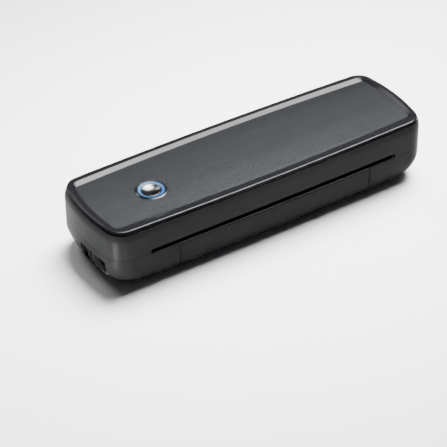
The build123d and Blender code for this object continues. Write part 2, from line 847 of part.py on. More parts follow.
# Light emitting diodes round the switch
with BuildPart() as button_lamps:
    with Locations((button_x, button_y, button_board_top + lamp_height / 2)):
        with PolarLocations(lamp_circle, lamp_count):
            Box(lamp_size, lamp_size, lamp_height)
finish(button_lamps, "button_lamps")

# ---------------------------------------------------------------- paper path

# Lower guide: floor of the paper path, whose front edge is the slot's lip
with BuildPart() as lower_paper_guide:
    block((-guide_half_length, guide_front, guide_underside), (guide_half_length, guide_back, lip_top))
    tongue_half = slot_half - 0.4
    block((-tongue_half, guide_back, guide_underside), (tongue_half, guide_tongue_back, lip_top))
    lip = extrude(hull_section(lip_top - lip_drop, lip_setback), amount=-lip_thickness, mode=Mode.PRIVATE)
    lip_box = Box(2 * tongue_half, half_width, 2 * beyond, align=(Align.CENTER, Align.MAX, Align.CENTER), mode=Mode.PRIVATE)
    add(lip & lip_box.moved(Location((0, guide_front + 1, lip_top))))
    window_half = platen_length / 2 + 0.6
    reach = platen_diameter / 2 + 0.5
    window_low = (-window_half, platen_y - reach, guide_underside - 1)
    block(window_low, (window_half, platen_y + reach, lip_top + 1), Mode.SUBTRACT)
    post(sensor_x, head_pivot_y, guide_underside - 1, lip_top + 1, 2.5, Mode.SUBTRACT)
    for index in range(guide_rib_count):
        x = (index - 2) * guide_rib_spacing - guide_rib_spacing / 2 - 3
        low = (x - guide_rib_thickness / 2, -13, guide_underside - guide_rib_height)
        block(low, (x + guide_rib_thickness / 2, guide_back - 3, guide_underside))
finish(lower_paper_guide, "lower_paper_guide")

# Upper guide: roof of the paper path, which also carries the main board
with BuildPart() as upper_paper_guide:
    low = (-upper_guide_half_length, upper_guide_front, upper_guide_height)
    top = upper_guide_height + guide_thickness
    block(low, (upper_guide_half_length, upper_guide_back, top))
    for x, y in board_posts_at:
        post(x, y, top, board_seat, board_post_diameter)
        post(x, y, top, board_seat + 1, small_screw_diameter, Mode.SUBTRACT)
finish(upper_paper_guide, "upper_paper_guide")

# Optical sensor under the window in the lower guide
with BuildPart() as paper_sensor:
    length, width, height = sensor_size
    low = (sensor_x - length / 2, head_pivot_y - width / 2, guide_underside - height)
    block(low, (sensor_x + length / 2, head_pivot_y + width / 2, guide_underside))
finish(paper_sensor, "paper_sensor")

# ---------------------------------------------------------------- print mechanism frame


def side_frame(side):
    """An upright steel plate with two inward feet and the holes for what it carries."""
    left, right = spanning(side, frame_x, frame_outer)
    with BuildPart() as plate:
        with BuildSketch(Plane.YZ.offset(left)):
            with BuildLine():
                Polyline(
                    (frame_front, frame_seat),
                    (frame_back, frame_seat),
                    (frame_back, upper_guide_height),
                    (frame_head_back, upper_guide_height),
                    (frame_head_back, frame_head_top),
                    (frame_front, frame_head_top),
                    close=True,
                )
            make_face()
            with Locations((platen_y, platen_z)):
                Circle(bush_diameter / 2 + 0.04, mode=Mode.SUBTRACT)
            with Locations((head_pivot_y, head_pivot_z)):
                Circle(head_pin_diameter / 2 + 0.04, mode=Mode.SUBTRACT)
            with Locations(*cross_bar_screws_at):
                Circle(small_screw_diameter / 2 + 0.1, mode=Mode.SUBTRACT)
            if side > 0:
                with Locations((idler_y, idler_z)):
                    Circle(gear_axle_diameter / 2 + 0.04, mode=Mode.SUBTRACT)
                with Locations((motor_y, motor_z)):
                    Circle(motor_boss_diameter / 2 + 0.1, mode=Mode.SUBTRACT)
                with Locations(*motor_screws_at):
                    Circle(small_screw_diameter / 2 + 0.1, mode=Mode.SUBTRACT)
                with Locations(*guard_posts_at):
                    Circle(tenon_diameter / 2 + 0.04, mode=Mode.SUBTRACT)
        extrude(amount=frame_thickness)
        inner, outer = spanning(side, frame_x - frame_tab_width, frame_x)
        for y in (frame_front_tab, frame_rear_tab):
            half = frame_tab_width / 2
            block((inner, y - half, frame_seat), (outer, y + half, frame_seat + frame_thickness))
            middle = side * (frame_x - half)
            post(middle, y, frame_seat - 1, frame_seat + 2 * frame_thickness, small_screw_diameter + 0.2, Mode.SUBTRACT)
        corners = plate.edges().filter_by(Axis.X).group_by(Axis.Z)[-1]
        fillet(corners, frame_corner)
    return plate


finish(side_frame(-1), "side_frame_left")
finish(side_frame(1), "side_frame_right")

# Cross bar over the print head, with flanges that screw to the side frames
with BuildPart() as cross_bar:
    low = (-frame_x, cross_bar_front, cross_bar_underside)
    block(low, (frame_x, cross_bar_back, cross_bar_height))
    for side in frame_sides:
        left, right = spanning(side, frame_x - frame_thickness, frame_x)
        flange_top = cross_bar_height + cross_bar_flange
        block((left, cross_bar_front, cross_bar_height), (right, cross_bar_back, flange_top))
        for y, z in cross_bar_screws_at:
            bar(left - 1, right + 1, y, z, small_screw_diameter, Mode.SUBTRACT)
    low = (-frame_x, cross_bar_front, cross_bar_height)
    block(low, (frame_x, cross_bar_front + frame_thickness, cross_bar_height + cross_bar_flange))
finish(cross_bar, "cross_bar")

# Screws that hold the side frames and the cross bar
with BuildPart() as frame_screws:
    for x, y in frame_screws_at:
        small_screw(x, y, frame_seat + frame_thickness, 4)
    for side in frame_sides:
        for y, z in cross_bar_screws_at:
            side_screw(side, y, z, 3)
finish(frame_screws, "frame_screws")

# ---------------------------------------------------------------- platen

# Steel shaft with a retaining collar on the left
with BuildPart() as platen_shaft:
    bar(-frame_outer - platen_shaft_overhang, small_gear_start + small_gear_width + 0.6, platen_y, platen_z, platen_shaft_diameter)
    collar = -frame_outer - bush_flange - 0.2
    bar(collar - 0.7, collar, platen_y, platen_z, platen_shaft_diameter + 2.4)
finish(platen_shaft, "platen_shaft")

# Rubber roller on the shaft
with BuildPart() as platen_rubber:
    bar(-platen_length / 2, platen_length / 2, platen_y, platen_z, platen_diameter)
    bore = platen_shaft_diameter + 2 * running_clearance
    bar(-platen_length, platen_length, platen_y, platen_z, bore, Mode.SUBTRACT)
finish(platen_rubber, "platen_rubber")

# Flanged bushes in the side frames
with BuildPart() as platen_bushes:
    for side in frame_sides:
        left, right = spanning(side, frame_x - 0.2, frame_outer)
        bar(left, right, platen_y, platen_z, bush_diameter)
        left, right = spanning(side, frame_outer, frame_outer + bush_flange)
        bar(left, right, platen_y, platen_z, bush_flange_diameter)
    bore = platen_shaft_diameter + 2 * running_clearance
    bar(-half_length, half_length, platen_y, platen_z, bore, Mode.SUBTRACT)
finish(platen_bushes, "platen_bushes")

# ---------------------------------------------------------------- gear train

# Angles that put each gear's teeth into the gaps of the next
idler_to_platen = degrees(atan2(platen_z - idler_z, platen_y - idler_y))
idler_to_motor = degrees(atan2(motor_z - idler_z, motor_y - idler_y))

# Platen gear: a tooth points at the idler
with BuildPart() as platen_gear:
    bore = platen_shaft_diameter + 2 * running_clearance
    plane = Plane.YZ.offset(small_gear_start)
    extrude(gear_face(plane, (platen_y, platen_z), platen_teeth, idler_to_platen + 180, bore), amount=small_gear_width)
finish(platen_gear, "platen_gear")

# Idler: its small gear has a gap at the platen gear, its large gear a tooth at the pinion
with BuildPart() as idler_gear:
    centre = (idler_y, idler_z)
    bore = gear_axle_diameter + 2 * running_clearance
    large = gear_face(Plane.YZ.offset(large_gear_start), centre, idler_large_teeth, idler_to_motor, bore)
    extrude(large, amount=large_gear_width)
    gap_angle = idler_to_platen + 180 / idler_small_teeth
    small = gear_face(Plane.YZ.offset(small_gear_start), centre, idler_small_teeth, gap_angle, bore)
    extrude(small, amount=small_gear_width)
    bar(gear_hub_start, guard_start - 0.3, idler_y, idler_z, gear_hub_diameter)
    bar(gear_hub_start - 1, guard_start, idler_y, idler_z, bore, Mode.SUBTRACT)
finish(idler_gear, "idler_gear")

# Axle between the side frame and the guard
with BuildPart() as idler_axle:
    bar(frame_x, guard_start + guard_thickness, idler_y, idler_z, gear_axle_diameter)
finish(idler_axle, "idler_axle")

# Motor pinion: a gap points at the idler
with BuildPart() as motor_pinion:
    bore = motor_shaft_diameter + 2 * running_clearance
    gap_angle = idler_to_motor + 180 + 180 / pinion_teeth
    plane = Plane.YZ.offset(large_gear_start - 0.2)
    extrude(gear_face(plane, (motor_y, motor_z), pinion_teeth, gap_angle, bore), amount=large_gear_width + 0.4)
finish(motor_pinion, "motor_pinion")

# Motor shaft
with BuildPart() as motor_shaft:
    bar(frame_x - motor_length / 2, small_gear_start + 1, motor_y, motor_z, motor_shaft_diameter)
finish(motor_shaft, "motor_shaft")

# Stepper motor: can, mounting plate and boss
with BuildPart() as stepper_motor:
    bar(frame_x - motor_length, frame_x - motor_ear_thickness, motor_y, motor_z, motor_diameter)
    with BuildSketch(Plane.YZ.offset(frame_x - motor_ear_thickness)):
        with Locations((motor_y, motor_z)):
            SlotCenterToCenter(2 * motor_screw_reach, motor_ear_diameter, rotation=motor_ear_angle)
            Circle(motor_diameter / 2)
        with Locations(*motor_screws_at):
            Circle(small_screw_diameter / 2, mode=Mode.SUBTRACT)
    extrude(amount=motor_ear_thickness)
    bar(frame_x, frame_outer + 0.4, motor_y, motor_z, motor_boss_diameter)
    bore = motor_shaft_diameter + 2 * running_clearance
    bar(frame_x - motor_length / 2, frame_outer + 1, motor_y, motor_z, bore, Mode.SUBTRACT)
    bar(frame_x - motor_length - 1, frame_x - motor_length, motor_y, motor_z, motor_boss_diameter)
finish(stepper_motor, "stepper_motor")

# Screws that hold the motor to the side frame
with BuildPart() as motor_screws:
    for y, z in motor_screws_at:
        side_screw(1, y, z, 3)
finish(motor_screws, "motor_screws")

# Posts between the side frame and the guard
with BuildPart() as guard_posts:
    for y, z in guard_posts_at:
        bar(frame_outer, guard_start, y, z, guard_post_diameter)
        bar(frame_x, guard_start + guard_thickness, y, z, tenon_diameter)
finish(guard_posts, "guard_posts")

# Guard plate over the gears
with BuildPart() as gear_guard:
    with BuildSketch(Plane.YZ.offset(guard_start)):
        with Locations(((guard_low[0] + guard_high[0]) / 2, (guard_low[1] + guard_high[1]) / 2)):
            RectangleRounded(guard_high[0] - guard_low[0], guard_high[1] - guard_low[1], frame_corner)
        with Locations((idler_y, idler_z)):
            Circle(gear_axle_diameter / 2 + 0.04, mode=Mode.SUBTRACT)
        with Locations(*guard_posts_at):
            Circle(tenon_diameter / 2 + 0.04, mode=Mode.SUBTRACT)
    extrude(amount=guard_thickness)
finish(gear_guard, "gear_guard")

# ---------------------------------------------------------------- print head

# Ceramic strip just above the platen
with BuildPart() as print_head_strip:
    half = head_strip_width / 2
    low = (-head_half_length, platen_y - half, head_strip_bottom)
    block(low, (head_half_length, platen_y + half, heat_sink_bottom))
finish(print_head_strip, "print_head_strip")

# Aluminium heat sink with fins and pivot ears
with BuildPart() as head_heat_sink:
    low = (-head_half_length, heat_sink_front, heat_sink_bottom)
    block(low, (head_half_length, heat_sink_back, heat_sink_top))
    for index in range(heat_sink_fin_count):
        y = heat_sink_front + index * heat_sink_fin_pitch
        low = (-head_half_length, y, heat_sink_top)
        block(low, (head_half_length, y + heat_sink_fin_thickness, heat_sink_top + heat_sink_fin_height))
    for side in frame_sides:
        left, right = spanning(side, head_ear_x - head_ear_thickness, head_ear_x)
        with BuildSketch(Plane.YZ.offset(left)):
            with BuildLine():
                Polyline(
                    (heat_sink_back - 3, heat_sink_bottom),
                    (heat_sink_back, heat_sink_bottom),
                    (head_pivot_y + head_pin_diameter, head_pivot_z - 1),
                    (head_pivot_y, head_pivot_z + head_pin_diameter),
                    (head_pivot_y - head_pin_diameter, head_pivot_z + head_pin_diameter),
                    (heat_sink_back - 3, heat_sink_top),
                    close=True,
                )
            make_face()
            with Locations((head_pivot_y, head_pivot_z)):
                Circle(head_pin_diameter)
        extrude(amount=right - left)
        bar(left - 1, right + 1, head_pivot_y, head_pivot_z, head_pin_diameter + 0.1, Mode.SUBTRACT)
finish(head_heat_sink, "head_heat_sink")

# Pins that the head tilts on
with BuildPart() as head_pivot_pins:
    for side in frame_sides:
        left, right = spanning(side, head_ear_x - head_ear_thickness - 0.4, frame_outer)
        bar(left, right, head_pivot_y, head_pivot_z, head_pin_diameter)
finish(head_pivot_pins, "head_pivot_pins")

# Leaf springs that press the head on the platen, bowed between tabs under the cross bar
with BuildPart() as head_springs:
    tab_top, tab_bottom = cross_bar_underside, cross_bar_underside - head_spring_thickness
    reach, tab_end = head_spring_reach, head_spring_reach + head_spring_tab
    plane = Plane(origin=(0, head_spring_y + head_spring_width / 2, 0), x_dir=(1, 0, 0), z_dir=(0, -1, 0))
    with BuildSketch(plane):
        with Locations((-head_spring_spacing, 0), (0, 0), (head_spring_spacing, 0)):
            with BuildLine():
                Polyline((-reach, tab_bottom), (-tab_end, tab_bottom), (-tab_end, tab_top), (-reach, tab_top))
                ThreePointArc((-reach, tab_top), (0, heat_sink_top + head_spring_thickness), (reach, tab_top))
                Polyline((reach, tab_top), (tab_end, tab_top), (tab_end, tab_bottom), (reach, tab_bottom))
                ThreePointArc((reach, tab_bottom), (0, heat_sink_top), (-reach, tab_bottom))
            make_face()
    extrude(amount=head_spring_width)
finish(head_springs, "head_springs")

# Flat cable from behind the heat sink up to the main board
with BuildPart() as head_flex_cable:
    with BuildSketch(Plane.YZ.offset(-flex_width / 2)):
        with BuildLine():
            middle = Polyline(
                (heat_sink_back + 0.2, heat_sink_bottom + 1.6),
                (head_pivot_y + 0.5, heat_sink_bottom + 1.6),
                (board_low[1] - 7, flex_height),
                (board_low[1] + 1 - flex_thickness / 2, flex_height),
            )
            offset(middle, amount=flex_thickness / 2, side=Side.BOTH)
        make_face()
    extrude(amount=flex_width)
finish(head_flex_cable, "head_flex_cable")

# ---------------------------------------------------------------- main board

# Board on the upper guide's posts
with BuildPart() as main_board:
    block((*board_low, board_seat), (*board_high, board_top))
    for x, y in board_posts_at:
        post(x, y, board_seat - 1, board_top + 1, small_screw_diameter + 0.2, Mode.SUBTRACT)
finish(main_board, "main_board")

# Chips: (x, y, length, width, height)
chips = [(-20, 16, 14, 14, 1.4), (4, 18, 10, 6, 1.0), (40, 17, 9, 9, 1.2), (58, 11, 7, 5, 1.2), (-42, 10, 6, 6, 1.0)]
with BuildPart() as board_chips:
    for x, y, length, width, height in chips:
        with Locations((x, board_low[1] + y, board_top + height / 2)):
            Box(length, width, height)
finish(board_chips, "board_chips")

# Electrolytic capacitors in a row
with BuildPart() as board_capacitors:
    for index in range(capacitor_count):
        x = capacitor_x + capacitor_pitch * index
        post(x, board_high[1] - board_post_inset, board_top, board_top + capacitor_height, capacitor_diameter)
finish(board_capacitors, "board_capacitors")

# Connectors: the head's cable socket and plugs for motor, battery, sockets and button
plugs = [(66, 22, 6, 10), (-56, 22, 5, 8), (-56, 13.5, 5, 6), (-38, 28.5, 12, 5)]
with BuildPart() as board_connectors:
    block((-flex_width / 2 - 2, board_low[1] + 1, board_top), (flex_width / 2 + 2, board_low[1] + 5, board_top + 2.6))
    for x, y, length, width in plugs:
        with Locations((x, y, board_top + 2.5)):
            Box(length, width, 5)
finish(board_connectors, "board_connectors")

# Screws of the main, button and socket boards
with BuildPart() as board_screws:
    for x, y in board_posts_at:
        small_screw(x, y, board_top, 4)
    for x, y in io_posts_at[:2]:
        small_screw(x, y, io_board_top, 5)
    for x, y in button_posts_at:
        head_bottom = button_board_bottom - small_screw_head_height
        post(x, y, head_bottom, button_board_bottom, small_screw_head_diameter)
        post(x, y, button_board_bottom, button_board_bottom + 5, small_screw_diameter - 0.1)
finish(board_screws, "board_screws")

# ---------------------------------------------------------------- battery

cell_left = battery_x - cell_length
cell_right = battery_x + cell_length
cradle_inner = cell_diameter / 2 + fit_gap
cradle_outer = cradle_inner + cradle_thickness

# Two cells end to end
with BuildPart() as battery_cells:
    for start in (cell_left, battery_x + 1):
        bar(start, start + cell_length - 2, battery_y, battery_z, cell_diameter)
        bar(start + cell_length - 2, start + cell_length - 1, battery_y, battery_z, 6)
finish(battery_cells, "battery_cells")

# Half-round cradle with a foot and end walls
with BuildPart() as battery_cradle:
    bar(cell_left - 2, cell_right + 2, battery_y, battery_z, 2 * cradle_outer)
    block((cell_left - 2, battery_y - 6, floor_top), (cell_right + 2, battery_y + 6, battery_z - cradle_inner - 0.2))
    bar(cell_left - 0.6, cell_right + 0.6, battery_y, battery_z, 2 * cradle_inner, Mode.SUBTRACT)
    block((cell_left - 3, 0, battery_z), (cell_right + 3, half_width, overall_height), Mode.SUBTRACT)
finish(battery_cradle, "battery_cradle")

# Strap over the middle of the cells
with BuildPart() as battery_strap:
    left, right = battery_x - strap_width / 2, battery_x + strap_width / 2
    inner = cell_diameter / 2 + fit_gap - 0.1
    bar(left, right, battery_y, battery_z, 2 * (inner + strap_thickness))
    bar(left - 1, right + 1, battery_y, battery_z, 2 * inner, Mode.SUBTRACT)
    block((left - 1, 0, 0), (right + 1, half_width, battery_z), Mode.SUBTRACT)
finish(battery_strap, "battery_strap")

# Contact plates at both ends of the battery
with BuildPart() as battery_contacts:
    bar(cell_left - contact_thickness, cell_left, battery_y, battery_z, 14)
    bar(cell_right, cell_right + contact_thickness, battery_y, battery_z, 14)
finish(battery_contacts, "battery_contacts")

# ---------------------------------------------------------------- sockets in the left end

# Board on three posts
with BuildPart() as input_board:
    block((*io_board_low, io_board_bottom), (*io_board_high, io_board_top))
    for x, y in io_posts_at[:2]:
        post(x, y, io_board_bottom - 1, io_board_top + 1, small_screw_diameter + 0.2, Mode.SUBTRACT)
finish(input_board, "input_board")

# Power jack with a round socket
with BuildPart() as power_jack:
    half = jack_opening / 2 - connector_gap
    block((connector_face, jack_y - half, io_board_top), (connector_back, jack_y + half, port_top - connector_gap))
    middle_z = (port_bottom + port_top) / 2
    bar(connector_face - 1, connector_face + jack_bore_depth, jack_y, middle_z, jack_bore_diameter, Mode.SUBTRACT)
finish(power_jack, "power_jack")

# Centre pin of the jack
with BuildPart() as jack_pin:
    bar(connector_face + 0.5, connector_face + jack_bore_depth, jack_y, middle_z, jack_pin_diameter)
finish(jack_pin, "jack_pin")

# Slide switch body with a slot for the knob
with BuildPart() as switch_body:
    half = switch_opening / 2 + 0.3
    block((connector_face, switch_y - half, io_board_top), (connector_back - 3, switch_y + half, port_top - connector_gap))
    slot = knob_thickness / 2 + 0.15
    low = (connector_face - 1, switch_y - slot, port_bottom + 0.4)
    block(low, (connector_face + 3.2, switch_y + slot, port_top - 1.4), Mode.SUBTRACT)
finish(switch_body, "switch_body")

# Knob of the slide switch, at the lower end of its slot
with BuildPart() as switch_slider:
    half = knob_thickness / 2
    low = (connector_face - knob_reach, switch_y - half, knob_bottom)
    block(low, (connector_face + 3, switch_y + half, knob_bottom + knob_height))
finish(switch_slider, "switch_slider")

# Data socket: metal shell on the board
with BuildPart() as data_socket_shell:
    half = socket_opening / 2 - connector_gap
    shell_front = socket_face - shell_reach
    shell_bottom = port_bottom + connector_gap
    shell_top = port_top - connector_gap
    block((shell_front, socket_y - half, shell_bottom), (connector_back, socket_y + half, shell_top))
    low = (shell_front - 1, socket_y - half + shell_thickness, shell_bottom + shell_thickness)
    high = (connector_back - shell_thickness, socket_y + half - shell_thickness, shell_top - shell_thickness)
    block(low, high, Mode.SUBTRACT)
finish(data_socket_shell, "data_socket_shell")

# Contact tongue of the data socket
with BuildPart() as data_socket_tongue:
    low = (connector_back - shell_thickness - tongue_length, socket_y - 3.4, middle_z - 0.8)
    block(low, (connector_back - shell_thickness, socket_y + 3.4, middle_z + 0.8))
finish(data_socket_tongue, "data_socket_tongue")
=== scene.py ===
"""Looks of a portable thermal printer for A4 sheets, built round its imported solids.

Metres. X runs along the printer, Y from the front to the back and Z up, as in the solids. Each
sub-assembly is a class that dresses its own nodes and models the pieces that stand for them.
"""

import json
import logging
import math
from collections.abc import Callable
from dataclasses import dataclass
from enum import Enum

import bmesh
import bpy
import numpy as np
from mathutils import Matrix, Vector


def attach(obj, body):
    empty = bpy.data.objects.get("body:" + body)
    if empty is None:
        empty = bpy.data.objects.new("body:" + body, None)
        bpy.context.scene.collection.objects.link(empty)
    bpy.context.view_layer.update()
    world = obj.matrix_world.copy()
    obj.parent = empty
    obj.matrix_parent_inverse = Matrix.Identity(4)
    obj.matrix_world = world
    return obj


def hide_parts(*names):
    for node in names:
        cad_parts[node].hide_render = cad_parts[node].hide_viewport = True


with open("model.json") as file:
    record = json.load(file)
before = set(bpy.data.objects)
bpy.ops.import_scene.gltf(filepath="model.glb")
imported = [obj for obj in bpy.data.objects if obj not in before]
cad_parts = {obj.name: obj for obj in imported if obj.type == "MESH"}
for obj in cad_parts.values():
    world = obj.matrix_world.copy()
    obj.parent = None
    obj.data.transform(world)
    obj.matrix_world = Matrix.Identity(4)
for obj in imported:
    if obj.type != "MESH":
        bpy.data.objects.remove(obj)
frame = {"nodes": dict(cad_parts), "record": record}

log = logging.getLogger("printer")
MM = 0.001
PLASTIC_IOR = 1.5
Colour = tuple[float, float, float]
Point = tuple[float, float, float]
Pair = tuple[float, float]
Arrays = tuple[np.ndarray, np.ndarray]
Surface = Callable[[np.ndarray], Arrays]


def scaled(colour: Colour, factor: float) -> Colour:
    """A colour made lighter or darker by a factor."""
    return tuple(channel * factor for channel in colour)


def lifted(colour: Colour, amount: float) -> Colour:
    """A colour with the same amount added to each channel."""
    return tuple(channel + amount for channel in colour)


# ---------------------------------------------------------------- shader tools


class Term:
    """A shader socket that takes part in arithmetic."""

    def __init__(self, graph: "Graph", socket: bpy.types.NodeSocket) -> None:
        """Wrap an output socket of a graph."""
        self.graph = graph
        self.socket = socket

    def _math(self, operation: str, *values: "Term | float") -> "Term":
        """Add one Math node and return its result."""
        return self.graph.node("ShaderNodeMath", {"operation": operation}, values)

    def __add__(self, other: "Term | float") -> "Term":
        """Sum."""
        return self._math("ADD", self, other)

    __radd__ = __add__

    def __mul__(self, other: "Term | float") -> "Term":
        """Product."""
        return self._math("MULTIPLY", self, other)

    __rmul__ = __mul__

    def __sub__(self, other: "Term | float") -> "Term":
        """Difference."""
        return self._math("SUBTRACT", self, other)

    def __rsub__(self, other: "Term | float") -> "Term":
        """Difference from a number."""
        return self._math("SUBTRACT", other, self)

    def __gt__(self, other: "Term | float") -> "Term":
        """1 where this is greater, otherwise 0."""
        return self._math("GREATER_THAN", self, other)

    def __lt__(self, other: "Term | float") -> "Term":
        """1 where this is less, otherwise 0."""
        return self._math("LESS_THAN", self, other)

    def __pow__(self, other: "Term | float") -> "Term":
        """Power."""
        return self._math("POWER", self, other)

    def wave(self) -> "Term":
        """Sine of this value."""
        return self._math("SINE", self)


class Graph:
    """A material's node tree, built from expressions."""

    def __init__(self, name: str) -> None:
        """Start an empty material.

        Args:
            name: The material's name.
        """
        self.material = bpy.data.materials.new(name)
        self.material.use_nodes = True
        self.tree = self.material.node_tree
        self.tree.nodes.clear()

    def node(
        self,
        kind: str,
        settings: dict[str, object] | None = None,
        values: tuple | dict | None = None,
        output: int | str = 0,
    ) -> Term:
        """Add a node of any type.

        Args:
            kind: Blender's node type.
            settings: Properties of the node, set first.
            values: Values or terms of its sockets, in order or by name.
            output: The output wanted.

        Returns:
            The chosen output as a term.
        """
        made = self.tree.nodes.new(kind)
        for key, value in (settings or {}).items():
            setattr(made, key, value)
        pairs = values.items() if isinstance(values, dict) else enumerate(values or ())
        for key, value in pairs:
            if isinstance(value, Term):
                self.tree.links.new(value.socket, made.inputs[key])
            else:
                made.inputs[key].default_value = value
        return Term(self, made.outputs[output])

    def place(self) -> Term:
        """The object's own coordinates, in metres."""
        return self.node("ShaderNodeTexCoord", output="Object")

    def stretched(self, scale: Point, turn: Point = (0, 0, 0)) -> Term:
        """Object coordinates turned, in radians, and then scaled along X, Y and Z."""
        turned = self.node("ShaderNodeMapping", {}, {"Vector": self.place(), "Rotation": turn})
        return self.node("ShaderNodeVectorMath", {"operation": "MULTIPLY"}, (turned, scale))

    def axes(self, centre: Point = (0, 0, 0)) -> tuple[Term, Term, Term]:
        """Object coordinates about a centre as three numbers.

        Args:
            centre: The point that becomes zero, in metres.

        Returns:
            X, Y and Z.
        """
        moved = self.node("ShaderNodeVectorMath", {"operation": "SUBTRACT"}, (self.place(), centre))
        split = self.node("ShaderNodeSeparateXYZ", {}, (moved,))
        outputs = split.socket.node.outputs
        return tuple(Term(self, outputs[index]) for index in range(3))

    def noise(self, vector: Term, scale: float, detail: float = 3.0, roughness: float = 0.55) -> Term:
        """Fractal noise from 0 to 1, with its scale in features per unit of the coordinates."""
        values = {"Vector": vector, "Scale": scale, "Detail": detail, "Roughness": roughness}
        return self.node("ShaderNodeTexNoise", {}, values)

    def span(
        self, value: Term, low: float, high: float, to_low: float = 0.0, to_high: float = 1.0
    ) -> Term:
        """A value mapped from one range to another and held there."""
        return self.node("ShaderNodeMapRange", {"clamp": True}, (value, low, high, to_low, to_high))

    def stripes(self, along: Term, pitch: float) -> Term:
        """A sine from -1 to 1 that repeats at each pitch."""
        return (along * (2 * math.pi / pitch)).wave()

    def mix(self, share: Term | float, first: Term | Colour, second: Term | Colour) -> Term:
        """A colour between two others.

        Args:
            share: 0 for the first, 1 for the second.
            first: A colour or term.
            second: A colour or term.

        Returns:
            The mixed colour.
        """
        ends = [value if isinstance(value, Term) else (*value, 1.0) for value in (first, second)]
        settings = {"data_type": "RGBA", "blend_type": "MIX"}
        return self.node("ShaderNodeMix", settings, {0: share, 6: ends[0], 7: ends[1]}, output=2)

    def bump(self, height: Term, depth: float) -> Term:
        """A normal from a height of 0 to 1, with the depth in metres that 1 stands for."""
        return self.node("ShaderNodeBump", {}, {"Strength": 1.0, "Distance": depth, "Height": height})

    def surface(self, **values: object) -> bpy.types.Material:
        """Finish with a principled shader.

        Args:
            values: Socket names, with underscores for spaces, and their values or terms.

        Returns:
            The material.
        """
        named = {key.replace("_", " "): value for key, value in values.items()}
        for key in ("Base Color", "Emission Color"):
            if key in named and not isinstance(named[key], Term):
                named[key] = (*named[key], 1.0)
        shader = self.node("ShaderNodeBsdfPrincipled", {}, named)
        output = self.tree.nodes.new("ShaderNodeOutputMaterial")
        self.tree.links.new(shader.socket, output.inputs["Surface"])
        return self.material


# ---------------------------------------------------------------- finishes


class Grain(Enum):
    """Ways that a metal's grain runs, as noise frequencies along X, Y and Z."""

    LENGTHWISE = (60.0, 2400.0, 2400.0)
    CROSSWISE = (2200.0, 200.0, 2200.0)
    ROLLED = (300.0, 2200.0, 300.0)
    GROUND = (2600.0, 60.0, 60.0)
    SAWN = (14.0, 2600.0, 2600.0)


@dataclass(frozen=True)
class MouldedPlastic:
    """Injection-moulded plastic with a fine spark texture and faint clouding."""

    name: str
    colour: Colour
    roughness: float = 0.35
    grain: float = 0.00035
    depth: float = 0.000004
    clouding: float = 0.12
    specular: float = 0.5

    def material(self) -> bpy.types.Material:
        """Build the finish.

        Returns:
            The material.
        """
        graph = Graph(self.name)
        place = graph.place()
        spark = graph.noise(place, 1 / self.grain, 2.0)
        cloud = graph.noise(place, 28.0, 4.0)
        dark, light = (scaled(self.colour, 1 + side * self.clouding) for side in (-1, 1))
        return graph.surface(
            Base_Color=graph.mix(cloud, dark, light),
            Roughness=self.roughness + (cloud - 0.5) * 0.06 + (spark - 0.5) * 0.05,
            Normal=graph.bump(spark, self.depth),
            Specular_IOR_Level=self.specular,
            IOR=PLASTIC_IOR,
        )


@dataclass(frozen=True)
class PolishedPlastic:
    """Polished plastic with hairline wiping marks and a trace of dust."""

    name: str
    colour: Colour
    roughness: float = 0.08
    specular: float = 0.5
    coat: float = 0.0

    def material(self) -> bpy.types.Material:
        """Build the finish.

        Returns:
            The material.
        """
        graph = Graph(self.name)
        hair = graph.noise(graph.stretched((60, 900, 900), (0, 0, 0.3)), 1.0, 2.0)
        haze = graph.noise(graph.place(), 45.0, 5.0)
        marks = graph.span(hair, 0.62, 0.75)
        return graph.surface(
            Base_Color=graph.mix(haze, self.colour, scaled(self.colour, 1.25)),
            Roughness=self.roughness + marks * 0.04 + haze * 0.05,
            Normal=graph.bump(graph.noise(graph.place(), 55.0, 1.0), 0.00002),
            Specular_IOR_Level=self.specular,
            Coat_Weight=self.coat,
            Coat_Roughness=0.03,
            IOR=PLASTIC_IOR,
        )


@dataclass(frozen=True)
class BrushedMetal:
    """Metal brushed along one axis.

    Part of its colour is painted sheen: a ramp from light at the left to dark at the right,
    between minus and plus a half-width along X, in place of a reflection that fades across it.
    """

    name: str
    colour: Colour
    roughness: float = 0.32
    grain: Grain = Grain.SAWN
    depth: float = 0.000003
    contrast: float = 0.16
    painted_sheen: float = 0.0
    painted_sheen_half: float = 0.13

    def material(self) -> bpy.types.Material:
        """Build the finish.

        Returns:
            The material.
        """
        graph = Graph(self.name)
        streak = graph.noise(graph.stretched(self.grain.value), 1.0, 4.0, 0.7)
        broad = graph.noise(graph.stretched(tuple(value / 9 for value in self.grain.value)), 1.0, 2.0)
        mixed = streak * 0.8 + broad * 0.2
        x, _, _ = graph.axes()
        # Painted sheen: the colour ramps from light at the left to dark at the right.
        across = graph.span(x, self.painted_sheen_half, -self.painted_sheen_half)
        grain_and_painted_sheen = graph.span(mixed, 0.35, 0.65) * (1 - self.painted_sheen) + across * self.painted_sheen
        dark, light = (scaled(self.colour, 1 + side * self.contrast) for side in (-1, 1))
        smooth, rough = self.roughness * 0.93, self.roughness * 1.07
        return graph.surface(
            Base_Color=graph.mix(grain_and_painted_sheen, dark, light),
            Metallic=1.0,
            Roughness=graph.span(mixed, 0.3, 0.7, smooth, rough),
            Normal=graph.bump(mixed, self.depth),
        )


